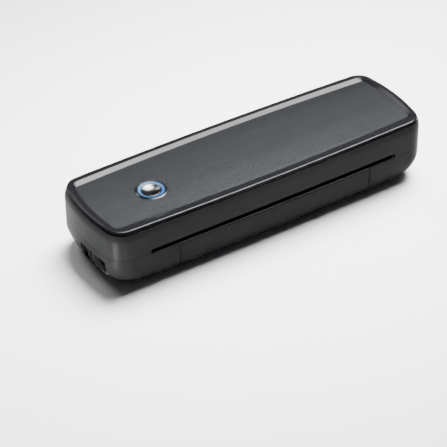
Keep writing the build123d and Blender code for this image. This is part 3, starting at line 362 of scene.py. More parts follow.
@dataclass(frozen=True)
class TurnedMetal:
    """Metal turned or polished round an upright axis."""

    name: str
    colour: Colour
    centre: Point
    roughness: float = 0.22
    pitch: float = 0.00012
    depth: float = 0.000002

    def material(self) -> bpy.types.Material:
        """Build the finish.

        Returns:
            The material.
        """
        graph = Graph(self.name)
        x, y, _ = graph.axes(self.centre)
        radius = (x * x + y * y) ** 0.5
        rings = graph.stripes(radius, self.pitch) * 0.5 + 0.5
        wobble = graph.noise(graph.place(), 900.0, 3.0)
        mixed = rings * 0.6 + wobble * 0.4
        return graph.surface(
            Base_Color=graph.mix(mixed, scaled(self.colour, 0.92), self.colour),
            Metallic=1.0,
            Roughness=self.roughness + (mixed - 0.5) * 0.08,
            Normal=graph.bump(mixed, self.depth),
        )


@dataclass(frozen=True)
class PlatedSteel:
    """Pressed and plated sheet with a faint rolling grain and stains."""

    name: str
    colour: Colour
    roughness: float = 0.34
    grain: Grain = Grain.ROLLED

    def material(self) -> bpy.types.Material:
        """Build the finish.

        Returns:
            The material.
        """
        graph = Graph(self.name)
        rolled = graph.noise(graph.stretched(self.grain.value), 1.0, 3.0)
        stain = graph.noise(graph.place(), 70.0, 6.0, 0.65)
        return graph.surface(
            Base_Color=graph.mix(graph.span(stain, 0.35, 0.7), self.colour, scaled(self.colour, 0.78)),
            Metallic=1.0,
            Roughness=self.roughness + (rolled - 0.5) * 0.16 + (stain - 0.5) * 0.12,
            Normal=graph.bump(rolled, 0.000005),
        )


@dataclass(frozen=True)
class Rubber:
    """Matt rubber with a ground texture and a dusty bloom."""

    name: str
    colour: Colour
    roughness: float = 0.72
    grain: float = 0.0005

    def material(self) -> bpy.types.Material:
        """Build the finish.

        Returns:
            The material.
        """
        graph = Graph(self.name)
        ground = graph.noise(graph.place(), 1 / self.grain, 5.0, 0.7)
        bloom = graph.noise(graph.place(), 110.0, 3.0)
        return graph.surface(
            Base_Color=graph.mix(graph.span(bloom, 0.45, 0.8), self.colour, lifted(self.colour, 0.03)),
            Roughness=self.roughness + (ground - 0.5) * 0.2,
            Normal=graph.bump(ground, 0.00002),
        )


@dataclass(frozen=True)
class CircuitBoard:
    """Solder mask over copper tracks, with tinned pads."""

    name: str
    mask: Colour = (0.010, 0.085, 0.035)
    track: Colour = (0.020, 0.150, 0.060)
    pad: Colour = (0.60, 0.60, 0.56)
    pitch: float = 0.0032

    def material(self) -> bpy.types.Material:
        """Build the finish.

        Returns:
            The material.
        """
        graph = Graph(self.name)
        cells = graph.node(
            "ShaderNodeTexVoronoi",
            {"feature": "F1", "distance": "MANHATTAN"},
            {"Vector": graph.place(), "Scale": 1 / self.pitch},
        )
        bands = graph.node(
            "ShaderNodeTexBrick",
            {"offset": 0.5},
            {
                "Vector": graph.place(),
                "Color1": (1, 1, 1, 1),
                "Color2": (1, 1, 1, 1),
                "Mortar": (0, 0, 0, 1),
                "Scale": 1 / self.pitch,
                "Mortar Size": 0.06,
            },
        )
        pads = cells < 0.16
        return graph.surface(
            Base_Color=graph.mix(pads, graph.mix(bands, self.track, self.mask), self.pad),
            Metallic=pads * 0.9,
            Roughness=0.28 + graph.noise(graph.place(), 300.0) * 0.12,
            Normal=graph.bump(bands, 0.00002),
        )


@dataclass(frozen=True)
class LightGuide:
    """Frosted ring lit from below and brightest over each lamp, with a painted highlight at the back."""

    name: str
    centre: Point
    colour: Colour = (0.015, 0.035, 0.07)
    glow: Colour = (0.04, 0.15, 0.50)
    # Colour of the painted highlight at the back, which stands in for the reflection of the light above.
    painted_highlight: Colour = (0.38, 0.78, 1.0)
    edge_glow: Colour = (0.003, 0.018, 0.085)
    crest_radius: float = 8.6 * MM
    painted_highlight_range: Pair = (-4.0 * MM, 9.5 * MM)
    strength: float = 0.8
    lamps: int = 6

    def material(self) -> bpy.types.Material:
        """Build the finish.

        Returns:
            The material.
        """
        graph = Graph(self.name)
        x, y, _ = graph.axes(self.centre)
        angle = graph.node("ShaderNodeMath", {"operation": "ARCTAN2"}, (y, x))
        spots = (angle * float(self.lamps)).wave() * 0.5 + 0.5
        frost = graph.noise(graph.place(), 2500.0, 3.0)
        # Painted highlight: the glow turns pale cyan towards the back, in place of a reflection.
        back = graph.span(y, *self.painted_highlight_range) ** 1.5
        glow_and_painted_highlight = graph.mix(back * (0.85 + spots * 0.15), self.glow, self.painted_highlight)
        away = ((x * x + y * y) ** 0.5 - self.crest_radius) * (1 / MM)
        lit = graph.mix(graph.span(away * away, 0.9, 0.06), self.edge_glow, glow_and_painted_highlight)
        return graph.surface(
            Base_Color=graph.mix(frost, self.colour, scaled(self.colour, 1.5)),
            Roughness=0.16 + frost * 0.08,
            Specular_IOR_Level=0.02,
            Emission_Color=lit,
            Emission_Strength=self.strength,
            Normal=graph.bump(frost, 0.00001),
        )


@dataclass(frozen=True)
class Film:
    """Amber film with copper tracks that run along Y."""

    name: str
    film: Colour = (0.36, 0.15, 0.03)
    track: Colour = (0.52, 0.27, 0.08)
    pitch: float = 0.001

    def material(self) -> bpy.types.Material:
        """Build the finish.

        Returns:
            The material.
        """
        graph = Graph(self.name)
        x, _, _ = graph.axes()
        lines = graph.stripes(x, self.pitch) > 0.0
        cloud = graph.noise(graph.place(), 200.0)
        return graph.surface(
            Base_Color=graph.mix(lines, self.film, self.track),
            Roughness=0.22 + cloud * 0.15,
            Normal=graph.bump(lines, 0.00003),
        )


@dataclass(frozen=True)
class Woven:
    """Woven tape."""

    name: str
    colour: Colour
    pitch: float = 0.0008

    def material(self) -> bpy.types.Material:
        """Build the finish.

        Returns:
            The material.
        """
        graph = Graph(self.name)
        x, y, z = graph.axes()
        weave = graph.stripes(x, self.pitch) * graph.stripes(y + z, self.pitch) * 0.5 + 0.5
        return graph.surface(
            Base_Color=graph.mix(weave, self.colour, lifted(self.colour, 0.05)),
            Roughness=0.8 - weave * 0.15,
            Normal=graph.bump(weave, 0.0001),
        )


# ---------------------------------------------------------------- pieces


def dress(material: bpy.types.Material, *nodes: str) -> None:
    """Give nodes of the frame a material.

    Args:
        material: The material.
        nodes: The nodes' names.
    """
    for name in nodes:
        obj = frame["nodes"][name]
        if not obj.material_slots:
            obj.data.materials.append(material)
        for place in obj.material_slots:
            place.material = material
    log.info("%s dresses %s", material.name, ", ".join(nodes))


def body_of(node: str) -> str:
    """The body that a node rides on.

    Args:
        node: The node's name.

    Returns:
        The body's name.
    """
    for body, nodes in frame["record"]["behaviour"]["bodies"].items():
        if node in nodes:
            return body
    raise KeyError(node)


def slot_of(node: str) -> str:
    """The record's material slot of a node."""
    return next(part["material_slot"] for part in frame["record"]["subparts"] if part["node"] == node)


def stand_for(piece: bpy.types.Object, node: str, material: bpy.types.Material) -> None:
    """Let a modelled piece take a node's place, in a finish of its own.

    Args:
        piece: The modelled piece.
        node: The node that it stands for.
        material: Its finish.
    """
    piece.data.materials.clear()
    piece.data.materials.append(material)
    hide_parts(node)
    slot_of(node)
    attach(piece, body_of(node))
    log.info("%s stands for %s", piece.name, node)


@dataclass(frozen=True)
class Outline:
    """Four outward-bowed sides with round corners, as arrays with one entry per point."""

    long_half: np.ndarray
    short_half: np.ndarray
    long_bow: np.ndarray
    end_bow: np.ndarray
    corner: np.ndarray

    def gap(self, x: np.ndarray, y: np.ndarray) -> tuple[np.ndarray, np.ndarray, np.ndarray]:
        """Distance outside the outline.

        Args:
            x: Places along the printer.
            y: Places across it.

        Returns:
            The distances, and the outline's outward direction as X and Y.
        """
        px, py = np.abs(x), np.abs(y)
        long_radius = (self.long_half**2 + self.long_bow**2) / (2 * self.long_bow)
        end_radius = (self.short_half**2 + self.end_bow**2) / (2 * self.end_bow)
        long_y = self.short_half - long_radius
        end_x = self.long_half - end_radius
        reach_long, reach_end = long_radius - self.corner, end_radius - self.corner
        span = np.hypot(end_x, long_y)
        along = (reach_long**2 - reach_end**2 + span**2) / (2 * span)
        across = np.sqrt(np.maximum(reach_long**2 - along**2, 0))
        ux, uy = end_x / span, -long_y / span
        side = np.where(ux - uy > 0, 1.0, -1.0)
        corner_x = ux * along - side * uy * across
        corner_y = long_y + uy * along + side * ux * across
        on_long = corner_x * (py - long_y) - (corner_y - long_y) * px > 0
        on_end = (corner_x - end_x) * py - corner_y * (px - end_x) < 0
        centre_x = np.where(on_long, 0.0, np.where(on_end, end_x, corner_x))
        centre_y = np.where(on_long, long_y, np.where(on_end, 0.0, corner_y))
        radius = np.where(on_long, long_radius, np.where(on_end, end_radius, self.corner))
        dx, dy = px - centre_x, py - centre_y
        length = np.maximum(np.hypot(dx, dy), 1e-9)
        return length - radius, np.sign(x) * dx / length, np.sign(y) * dy / length


@dataclass(frozen=True)
class HullForm:
    """The smooth outer form of the casings, the cover and the bezel, in metres.

    The rim, the middle and the underside each have the bow of the long sides, the bow of the ends
    and the corner radius. The bevel's foot and top start with half the length and half the width.
    """

    height: float = 52.0 * MM
    half_length: float = 139.0 * MM
    half_width: float = 42.0 * MM
    shoulder: float = 9.0 * MM
    lean_end: float = 2.4 * MM
    lean_side: float = 1.3 * MM
    turn_rise: float = 20.0 * MM
    turn_height: float = 20.996 * MM
    turn_run_end: float = 16.8 * MM
    turn_run_side: float = 8.4 * MM
    rim: Point = (2.7 * MM, 5.8 * MM, 12.0 * MM)
    middle: Point = (0.9 * MM, 5.8 * MM, 16.0 * MM)
    underside: Point = (4.0 * MM, 9.5 * MM, 22.0 * MM)
    edge_radius: float = 0.9 * MM
    panel_level: float = 50.5 * MM
    bevel_foot: tuple[float, ...] = (130.75 * MM, 33.05 * MM, 3.6 * MM, 3.8 * MM, 3.0 * MM)
    bevel_top: tuple[float, ...] = (133.2 * MM, 36.5 * MM, 3.1 * MM, 5.0 * MM, 8.0 * MM)
    step: float = 0.02 * MM
    edge_lift: tuple[float, ...] = (0.28, 0.56, 0.89, 1.0)
    edge_shading: tuple[float, ...] = (0.28, 0.86, 0.935, 0.97)

    def section(self, z: np.ndarray) -> Outline:
        """The plan outline of the walls.

        Args:
            z: Heights.

        Returns:
            The outline at each height.
        """
        lean = 1 - np.maximum(1 - (self.height - z) / self.shoulder, 0) ** 2
        drop = np.clip((self.turn_height - z) / self.turn_rise, 0, 0.9995)
        turn = 1 - np.sqrt(1 - drop**2)
        long_half = self.half_length - self.lean_end * (1 - lean) - self.turn_run_end * turn
        short_half = self.half_width - self.lean_side * (1 - lean) - self.turn_run_side * turn
        shape = []
        for rim, middle, underside in zip(self.rim, self.middle, self.underside):
            value = rim + (middle - rim) * lean
            shape.append(value + (underside - value) * turn)
        return Outline(long_half, short_half, *shape)

    def bevel(self, z: np.ndarray) -> Outline:
        """The bezel's inner slope at each height."""
        share = (z - self.panel_level) / (self.height - self.panel_level)
        return Outline(*(low + (high - low) * share for low, high in zip(self.bevel_foot, self.bevel_top)))

    def _outside(self, section: Callable[[np.ndarray], Outline], points: np.ndarray) -> Arrays:
        """How far points lie outside a stack of outlines.

        Args:
            section: The stack, as a function of the height.
            points: The points.

        Returns:
            The distances, and the directions in which they grow.
        """
        x, y, z = points.T
        step = self.step
        gap, nx, ny = section(z).gap(x, y)
        rise = (section(z + step).gap(x, y)[0] - section(z - step).gap(x, y)[0]) / (2 * step)
        normal = np.stack((nx, ny, rise), axis=1)
        normal /= np.linalg.norm(normal, axis=1, keepdims=True)
        return gap / np.sqrt(1 + rise**2), normal

    def wall(self, points: np.ndarray) -> Arrays:
        """The walls with the rim's round edge.

        Args:
            points: Points on or near them.

        Returns:
            Distances outside the walls, and the outward directions.
        """
        gap, normal = self._outside(self.section, points)
        radius = self.edge_radius
        rise = normal[:, 2]
        level = np.hypot(normal[:, 0], normal[:, 1])
        climb = (points[:, 2] - (self.height - radius)) / radius
        lift = np.clip(np.maximum(climb, rise), 0, 1)
        run = np.sqrt(1 - lift**2)
        rounded = climb > rise
        gap = np.where(rounded, gap + radius * (1 - level * run - climb * rise), gap)
        lift = np.interp(lift, self.edge_lift, self.edge_shading)
        run = np.sqrt(1 - lift**2)
        around = np.stack((normal[:, 0] / level * run, normal[:, 1] / level * run, lift), axis=1)
        return gap, np.where(rounded[:, None], around, normal)

    def slope(self, points: np.ndarray) -> Arrays:
        """Distance inside the bezel's slope and its outward direction."""
        gap, normal = self._outside(self.bevel, points)
        return -gap, -normal


def edit(piece: bpy.types.Object) -> bmesh.types.BMesh:
    """Enter edit mode on a piece alone, with nothing selected.

    Args:
        piece: The piece.

    Returns:
        Its mesh in edit mode.
    """
    bpy.ops.object.select_all(action="DESELECT")
    bpy.context.view_layer.objects.active = piece
    piece.select_set(True)
    bpy.ops.object.mode_set(mode="EDIT")
    bpy.ops.mesh.select_mode(type="FACE")
    bpy.ops.mesh.select_all(action="DESELECT")
    return bmesh.from_edit_mesh(piece.data)


def skin(node: str, name: str, material: bpy.types.Material, angle: float = 32.0) -> bpy.types.Object:
    """A smooth-shaded piece that stands for a node.

    Args:
        node: The node to copy.
        name: The new piece's name.
        material: Its material.
        angle: Edges sharper than this many degrees stay sharp.

    Returns:
        The new piece.
    """
    bpy.ops.object.select_all(action="DESELECT")
    piece = frame["nodes"][node].copy()
    piece.data = piece.data.copy()
    piece.parent = None
    piece.matrix_world = Matrix.Identity(4)
    piece.name = name
    bpy.context.scene.collection.objects.link(piece)
    edit(piece)
    bpy.ops.mesh.select_all(action="SELECT")
    bpy.ops.mesh.remove_doubles(threshold=0.000002)
    bpy.ops.object.mode_set(mode="OBJECT")
    bpy.ops.object.shade_smooth_by_angle(angle=math.radians(angle))
    stand_for(piece, node, material)
    return piece


def lying_on(
    gap: np.ndarray, normals: np.ndarray, outward: np.ndarray, reach: float, least: float
) -> np.ndarray:
    """Which faces lie on a surface.

    Args:
        gap: Distances of the faces from it.
        normals: The faces' directions.
        outward: The surface's directions there.
        reach: Largest distance.
        least: Least agreement of the two directions, where 1 is the same way.

    Returns:
        True for each face that lies on it.
    """
    return (np.abs(gap) < reach) & ((normals * outward).sum(axis=1) > least)


def slice_walls(
    piece: bpy.types.Object, form: HullForm, levels: tuple[float, ...], places: tuple[float, ...] = ()
) -> None:
    """Cut a piece's outer walls into fine strips, so that they follow the form closely.

    Args:
        piece: The piece.
        form: The form that its outer walls lie on.
        levels: Heights of the level cuts.
        places: Places along X of the upright cuts.
    """
    edit(piece)
    cuts = [((0, 0, level), (0, 0, 1)) for level in levels] + [((place, 0, 0), (1, 0, 0)) for place in places]
    for point, normal in cuts:
        mesh = bmesh.from_edit_mesh(piece.data)
        middles = np.array([face.calc_center_median() for face in mesh.faces])
        normals = np.array([face.normal for face in mesh.faces])
        gap, outward = form.wall(middles)
        for face, chosen in zip(mesh.faces, lying_on(gap, normals, outward, 0.6 * MM, 0.8)):
            face.select_set(bool(chosen))
        bmesh.update_edit_mesh(piece.data)
        bpy.ops.mesh.bisect(plane_co=point, plane_no=normal)
    bpy.ops.object.mode_set(mode="OBJECT")


def follow(
    piece: bpy.types.Object, *surfaces: Surface, reach: float = 0.25 * MM, shift_limit: float = 0.1 * MM
) -> None:
    """Lay a piece's faces on smooth surfaces and take their shading from them.

    Args:
        piece: The piece.
        surfaces: Functions from points to distances and outward directions.
        reach: Faces no further than this from a surface belong to it.
        shift_limit: The most that a corner moves.
    """
    mesh = piece.data
    points = np.array([vertex.co for vertex in mesh.vertices])
    middles = np.array([face.center for face in mesh.polygons])
    normals = np.array([face.normal for face in mesh.polygons])
    starts = np.array([face.loop_start for face in mesh.polygons])
    counts = np.array([face.loop_total for face in mesh.polygons])
    corners = np.array([loop.vertex_index for loop in mesh.loops])
    shading = np.array([tuple(value.vector) for value in mesh.corner_normals])
    owner = np.repeat(np.arange(len(starts)), counts)
    moved = points.copy()
    for surface in surfaces:
        gap, outward = surface(middles)
        chosen = lying_on(gap, normals, outward, reach, 0.9)[owner]
        gap, outward = surface(points)
        shading[chosen] = outward[corners[chosen]]
        touched = np.unique(corners[chosen])
        shift = np.clip(gap[touched], -shift_limit, shift_limit)
        moved[touched] = points[touched] - outward[touched] * shift[:, None]
    flat = normals[:, 2] > 0.9999
    shading[flat[owner]] = (0.0, 0.0, 1.0)
    mesh.vertices.foreach_set("co", moved.ravel())
    mesh.update()
    mesh.normals_split_custom_set(shading.tolist())


@dataclass
class Casings:
    """The two casings, the front cover, and the screws and feet below."""

    form: HullForm = HullForm()
    end_cuts: tuple[float, ...] = tuple(
        side * (88 + 6 * index) * MM for side in (-1, 1) for index in range(8)
    )
    lower_cuts: tuple[float, ...] = tuple((2 + 1.6 * index) * MM for index in range(16))
    upper_cuts: tuple[float, ...] = tuple((29.5 + 1.9 * index) * MM for index in range(11))
    plastic: MouldedPlastic = MouldedPlastic(
        "casing_plastic", (0.0150, 0.0153, 0.0158), 0.33, specular=0.013
    )
    cover_plastic: MouldedPlastic = MouldedPlastic(
        "cover_plastic", (0.0147, 0.0150, 0.0155), 0.34, specular=0.013
    )
    foot: Rubber = Rubber("foot_rubber", (0.018, 0.018, 0.019))
    screw: PlatedSteel = PlatedSteel("screw_steel", (0.20, 0.20, 0.21), 0.38)
    pin: PlatedSteel = PlatedSteel("pin_steel", (0.55, 0.55, 0.56), 0.2)

    def build(self) -> None:
        """Dress the shells and model their smooth skins."""
        casing = self.plastic.material()
        upper = skin("upper_casing", "upper_shell", casing)
        slice_walls(upper, self.form, self.upper_cuts, self.end_cuts)
        lower = skin("lower_casing", "lower_shell", casing)
        slice_walls(lower, self.form, self.lower_cuts, self.end_cuts)
        cover = skin("front_cover", "cover_shell", self.cover_plastic.material())
        slice_walls(cover, self.form, self.lower_cuts)
        for piece in (upper, lower, cover):
            follow(piece, self.form.wall)
        dress(self.foot.material(), "rubber_feet")
        dress(self.screw.material(), "casing_screws", "frame_screws", "motor_screws", "board_screws")
        dress(self.pin.material(), "hinge_pins", "head_pivot_pins")


@dataclass
class Top:
    """The bezel and the brushed panel in it."""

    form: HullForm = HullForm()
    gloss: PolishedPlastic = PolishedPlastic("bezel_gloss", (0.006, 0.006, 0.007), 0.09, 0.085)
    # The panel's colour carries a painted sheen, lighter at the left and darker at the right.
    brushed: BrushedMetal = BrushedMetal(
        "panel_brushed", (0.043, 0.045, 0.048), 0.25, Grain.LENGTHWISE, 0.0000003, 0.42, painted_sheen=0.62
    )

    def build(self) -> None:
        """Dress the bezel and the panel."""
        ring = skin("top_bezel", "bezel_ring", self.gloss.material())
        follow(ring, self.form.wall, self.form.slope)
        dress(self.brushed.material(), "top_panel")


def turned(
    node: str,
    name: str,
    profile: tuple[Pair, ...],
    centre: Point,
    material: bpy.types.Material,
    closed: bool = True,
) -> bpy.types.Object:
    """A round piece spun from its profile, that stands for a node.

    Args:
        node: The node that it stands for.
        name: The new piece's name.
        profile: Radii and heights in millimetres, in order round the section.
        centre: The axis, in metres.
        material: Its material.
        closed: True for a ring, False for a profile that starts and ends on the axis.

    Returns:
        The new piece.
    """
    piece = bpy.data.objects.new(name, bpy.data.meshes.new(name))
    bpy.context.scene.collection.objects.link(piece)
    mesh = edit(piece)
    points = [mesh.verts.new((centre[0] + radius * MM, centre[1], height * MM)) for radius, height in profile]
    pairs = list(zip(points, points[1:]))
    if closed:
        pairs.append((points[-1], points[0]))
    for pair in pairs:
        mesh.edges.new(pair)
    bmesh.update_edit_mesh(piece.data)
    bpy.ops.mesh.select_mode(type="VERT")
    bpy.ops.mesh.select_all(action="SELECT")
    bpy.ops.mesh.spin(steps=112, angle=2 * math.pi, center=centre, axis=(0, 0, 1))
    bpy.ops.mesh.select_all(action="SELECT")
    bpy.ops.mesh.remove_doubles(threshold=0.001 * MM)
    bpy.ops.mesh.normals_make_consistent(inside=False)
    bpy.ops.object.mode_set(mode="OBJECT")
    bpy.ops.object.shade_smooth_by_angle(angle=math.radians(34))
    stand_for(piece, node, material)
    return piece


def arc(centre: Pair, size: Pair, start: float, end: float, steps: int) -> tuple[Pair, ...]:
    """Points of an elliptic arc in a profile.

    Args:
        centre: Radius and height of the centre, in millimetres.
        size: Half-sizes along the radius and the height.
        start: First angle in degrees, from the outward direction.
        end: Last angle in degrees.
        steps: Number of points.

    Returns:
        The points from start to end.
    """
    turns = (math.radians(start + (end - start) * index / (steps - 1)) for index in range(steps))
    return tuple(
        (centre[0] + size[0] * math.cos(turn), centre[1] + size[1] * math.sin(turn)) for turn in turns
    )


@dataclass
class PowerButton:
    """The silver button, its lit ring, its bezel and the switch below.

    The profiles are radii and heights in millimetres.
    """

    centre: Point = (-0.0835, -0.0033, 0.0)
    collar_foot: tuple[Pair, ...] = ((10.1, 46.6), (11.0, 46.6), (11.0, 50.5), (12.0, 50.5))
    collar_crown: tuple[Pair, ...] = ((12.0, 50.6), (11.9, 50.68), (11.2, 50.97), (10.5, 51.23))
    guide_foot: tuple[Pair, ...] = ((7.8, 45.4), (10.8, 45.4), (10.8, 46.6), (9.9, 46.6))
    guide_funnel: tuple[Pair, ...] = ((9.3, 51.04), (8.8, 50.85), (8.3, 50.68), (7.9, 50.56), (7.8, 50.45))
    cap_foot: tuple[Pair, ...] = (
        (0.0, 42.7), (1.7, 42.7), (1.7, 44.1), (9.0, 44.1), (9.0, 45.1), (7.2, 45.1)
    )
    hollow_radius: float = 6.75
    hollow_bottom: float = 49.35
    hollow_depth: float = 1.42
    hollow_steps: int = 12
    ring: PolishedPlastic = PolishedPlastic("button_ring_gloss", (0.002, 0.002, 0.003), 0.19, 0.32, 0.0)
    frosted: LightGuide = LightGuide("light_guide_frosted", centre)
    satin: TurnedMetal = TurnedMetal(
        "button_cap_satin", (0.064, 0.064, 0.062), centre, 0.20, 0.00016, 0.0000003
    )
    lamp: PolishedPlastic = PolishedPlastic("lamp_lens", (0.70, 0.80, 0.90), 0.15)
    switch: MouldedPlastic = MouldedPlastic("switch_plastic", (0.02, 0.02, 0.022), 0.5)

    def build(self) -> None:
        """Turn the collar, the light guide and the cap, and dress what is below them."""
        collar = self.collar_foot + self.collar_crown + arc((10.4, 51.0), (0.3, 0.27), 75, 180, 6)
        turned("button_bezel", "button_ring", collar, self.centre, self.ring.material())
        guide = self.guide_foot + arc((9.75, 51.08), (0.15, 0.15), 0, 105, 5) + self.guide_funnel
        turned("light_ring", "light_guide", guide, self.centre, self.frosted.material())
        cap = self.cap_foot + arc((6.9, 50.5), (0.3, 0.3), 0, 115, 8) + self.hollow()
        turned("power_button", "button_cap", cap, self.centre, self.satin.material(), closed=False)
        dress(self.lamp.material(), "button_lamps")
        dress(self.switch.material(), "button_plunger", "tact_switch")

    def hollow(self) -> tuple[Pair, ...]:
        """The dished top of the cap.

        Returns:
            Points from its rim to the axis.
        """
        shares = [1 - index / self.hollow_steps for index in range(1, self.hollow_steps + 1)]
        heights = [self.hollow_bottom + self.hollow_depth * share**2 for share in shares]
        return tuple((self.hollow_radius * share, height) for share, height in zip(shares, heights))


@dataclass
class PaperPath:
    """The guides that the paper runs between, and its sensor."""

    steel: PlatedSteel = PlatedSteel("guide_steel", (0.58, 0.59, 0.60), 0.30, Grain.CROSSWISE)
    dark: PlatedSteel = PlatedSteel("guide_blackened", (0.030, 0.030, 0.032), 0.36, Grain.CROSSWISE)
    sensor: MouldedPlastic = MouldedPlastic("sensor_plastic", (0.02, 0.02, 0.02), 0.5)

    def build(self) -> None:
        """Dress the guides and the sensor."""
        dress(self.dark.material(), "lower_paper_guide")
        dress(self.steel.material(), "upper_paper_guide")
        dress(self.sensor.material(), "paper_sensor")


@dataclass
class Drive:
    """Frames, platen, gears and motor."""

    sheet: PlatedSteel = PlatedSteel("frame_steel", (0.50, 0.51, 0.52), 0.34)
    ground: BrushedMetal = BrushedMetal(
        "shaft_ground", (0.60, 0.60, 0.61), 0.18, Grain.GROUND, 0.000001, 0.06
    )
    roller: Rubber = Rubber("roller_rubber", (0.014, 0.014, 0.014), 0.62, 0.0003)
    brass: PlatedSteel = PlatedSteel("turned_brass", (0.62, 0.42, 0.16), 0.3)
    nylon: MouldedPlastic = MouldedPlastic("gear_nylon", (0.66, 0.64, 0.57), 0.42, 0.0006, clouding=0.05)
    can: PlatedSteel = PlatedSteel("motor_can", (0.40, 0.41, 0.42), 0.28)

    def build(self) -> None:
        """Dress the drive."""
        dress(self.sheet.material(), "side_frame_left", "side_frame_right", "cross_bar", "gear_guard")
        dress(self.ground.material(), "platen_shaft", "idler_axle", "motor_shaft", "guard_posts")
        dress(self.roller.material(), "platen_rubber")
        dress(self.brass.material(), "platen_bushes", "motor_pinion")
        dress(self.nylon.material(), "platen_gear", "idler_gear")
        dress(self.can.material(), "stepper_motor")


@dataclass
class PrintHead:
    """The ceramic strip, its heat sink, springs and cable."""

    glaze: PolishedPlastic = PolishedPlastic("strip_glaze", (0.42, 0.36, 0.28), 0.18)
    sink: BrushedMetal = BrushedMetal("sink_aluminium", (0.66, 0.67, 0.68), 0.34)
    wire: PlatedSteel = PlatedSteel("spring_wire", (0.45, 0.45, 0.46), 0.25)
    film: Film = Film("flex_film")

    def build(self) -> None:
        """Dress the head."""
        dress(self.glaze.material(), "print_head_strip")
        dress(self.sink.material(), "head_heat_sink")
        dress(self.wire.material(), "head_springs")
        dress(self.film.material(), "head_flex_cable")


@dataclass
class Electronics:
    """The boards, the battery and the sockets in the left end."""

    board: CircuitBoard = CircuitBoard("board_mask")
    chip: MouldedPlastic = MouldedPlastic("chip_package", (0.018, 0.018, 0.020), 0.55)
    can: PlatedSteel = PlatedSteel("capacitor_can", (0.66, 0.66, 0.67), 0.28)
    cream: MouldedPlastic = MouldedPlastic("connector_plastic", (0.56, 0.50, 0.36), 0.45)
    sleeve: PolishedPlastic = PolishedPlastic("cell_sleeve", (0.03, 0.10, 0.32), 0.25)
    cradle: MouldedPlastic = MouldedPlastic("cradle_plastic", (0.03, 0.03, 0.033), 0.5)
    strap: Woven = Woven("strap_tape", (0.02, 0.02, 0.02))
    nickel: PlatedSteel = PlatedSteel("contact_nickel", (0.62, 0.60, 0.56), 0.22)
    socket: MouldedPlastic = MouldedPlastic("socket_plastic", (0.012, 0.012, 0.013), 0.42)
    knob: MouldedPlastic = MouldedPlastic("knob_plastic", (0.07, 0.07, 0.075), 0.4)
    shell: PlatedSteel = PlatedSteel("shell_nickel", (0.60, 0.60, 0.59), 0.20)

    def build(self) -> None:
        """Dress the electronics."""
        dress(self.board.material(), "main_board", "button_board", "input_board")
        dress(self.chip.material(), "board_chips")
        dress(self.can.material(), "board_capacitors")
        dress(self.cream.material(), "board_connectors")
        dress(self.sleeve.material(), "battery_cells")
        dress(self.cradle.material(), "battery_cradle")
        dress(self.strap.material(), "battery_strap")
        dress(self.nickel.material(), "battery_contacts", "jack_pin")
        dress(self.socket.material(), "power_jack", "switch_body", "data_socket_tongue")
        dress(self.knob.material(), "switch_slider")
        dress(self.shell.material(), "data_socket_shell")


# ---------------------------------------------------------------- studio


@dataclass(frozen=True)
class Softbox:
    """A rectangular light, with its width as near to X as its aim allows.

    Its place, its aim and its size are in metres, its power in watts and the spread of its beam
    in degrees.
    """

    name: str
    place: Point
    aim: Point
    size: Pair
    power: float
    spread: float = 180.0

    def build(self) -> None:
        """Add the light."""
        data = bpy.data.lights.new(self.name, "AREA")
        data.shape = "RECTANGLE"
        data.size, data.size_y = self.size
        data.energy = self.power
        data.spread = math.radians(self.spread)
        light = bpy.data.objects.new(self.name, data)
        back = (Vector(self.place) - Vector(self.aim)).normalized()
        width = Vector((1, 0, 0))
        width = (width - back * back.x).normalized()
        turn = Matrix((width, back.cross(width), back)).transposed().to_4x4()
        light.matrix_world = Matrix.Translation(self.place) @ turn
        bpy.context.scene.collection.objects.link(light)


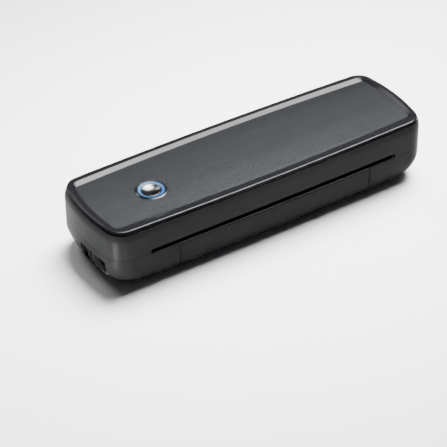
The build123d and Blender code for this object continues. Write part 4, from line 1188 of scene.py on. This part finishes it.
@dataclass
class Studio:
    """Floor, lights and camera."""

    eye: Point = (-0.6335, -0.9663, 0.8576)
    right: Point = (0.8409, -0.5411, -0.0084)
    up: Point = (0.3320, 0.5037, 0.7976)
    lens: float = 154.1
    sensor: float = 36.0
    floor_size: float = 8.0
    paper: tuple[Colour, Colour] = ((0.86, 0.86, 0.86), (0.88, 0.88, 0.88))
    surround: Colour = (0.95, 0.98, 1.0)
    surround_strength: float = 0.05
    lights: tuple[Softbox, ...] = (
        Softbox("key", (0.38, 0.23, 0.90), (0.0, 0.0, 0.0), (0.8, 0.62), 14.5, 60.0),
        Softbox("behind", (-0.25, 1.10, 1.12), (0.0, 0.0, 0.03), (0.7, 0.4), 9.0),
        Softbox("corner", (-0.181, -0.052, 0.0006), (-0.181, -0.052, 1.0), (0.040, 0.019), 0.24),
    )

    def build(self) -> None:
        """Set up everything that isn't part of the printer."""
        self.floor()
        self.camera()
        self.sky()
        for light in self.lights:
            light.build()

    def floor(self) -> None:
        """A plain pale floor."""
        bpy.ops.object.select_all(action="DESELECT")
        bpy.ops.mesh.primitive_plane_add(size=self.floor_size)
        plane = bpy.context.object
        plane.name = "floor"
        graph = Graph("floor_paper")
        soft = graph.noise(graph.place(), 40.0, 2.0)
        plane.data.materials.append(graph.surface(Base_Color=graph.mix(soft, *self.paper), Roughness=0.9))

    def camera(self) -> None:
        """A long lens from the front left, above."""
        data = bpy.data.cameras.new("camera")
        data.lens = self.lens
        data.sensor_width = self.sensor
        camera = bpy.data.objects.new("camera", data)
        right = Vector(self.right).normalized()
        back = right.cross(Vector(self.up)).normalized()
        up = back.cross(right)
        turn = Matrix((right, up, back)).transposed().to_4x4()
        camera.matrix_world = Matrix.Translation(self.eye) @ turn
        bpy.context.scene.collection.objects.link(camera)
        bpy.context.scene.camera = camera

    def sky(self) -> None:
        """A dim even surround."""
        world = bpy.data.worlds.new("surround")
        world.use_nodes = True
        background = world.node_tree.nodes["Background"]
        background.inputs["Color"].default_value = (*self.surround, 1.0)
        background.inputs["Strength"].default_value = self.surround_strength
        bpy.context.scene.world = world


# ---------------------------------------------------------------- assembly


def main() -> None:
    """Build and dress every sub-assembly, then the studio."""
    logging.basicConfig(level=logging.INFO, format="%(name)s: %(message)s")
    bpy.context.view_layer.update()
    for assembly in (Casings, Top, PowerButton, PaperPath, Drive, PrintHead, Electronics, Studio):
        assembly().build()
        log.info("%s is built", assembly.__name__)


if __name__ == "__main__":
    main()
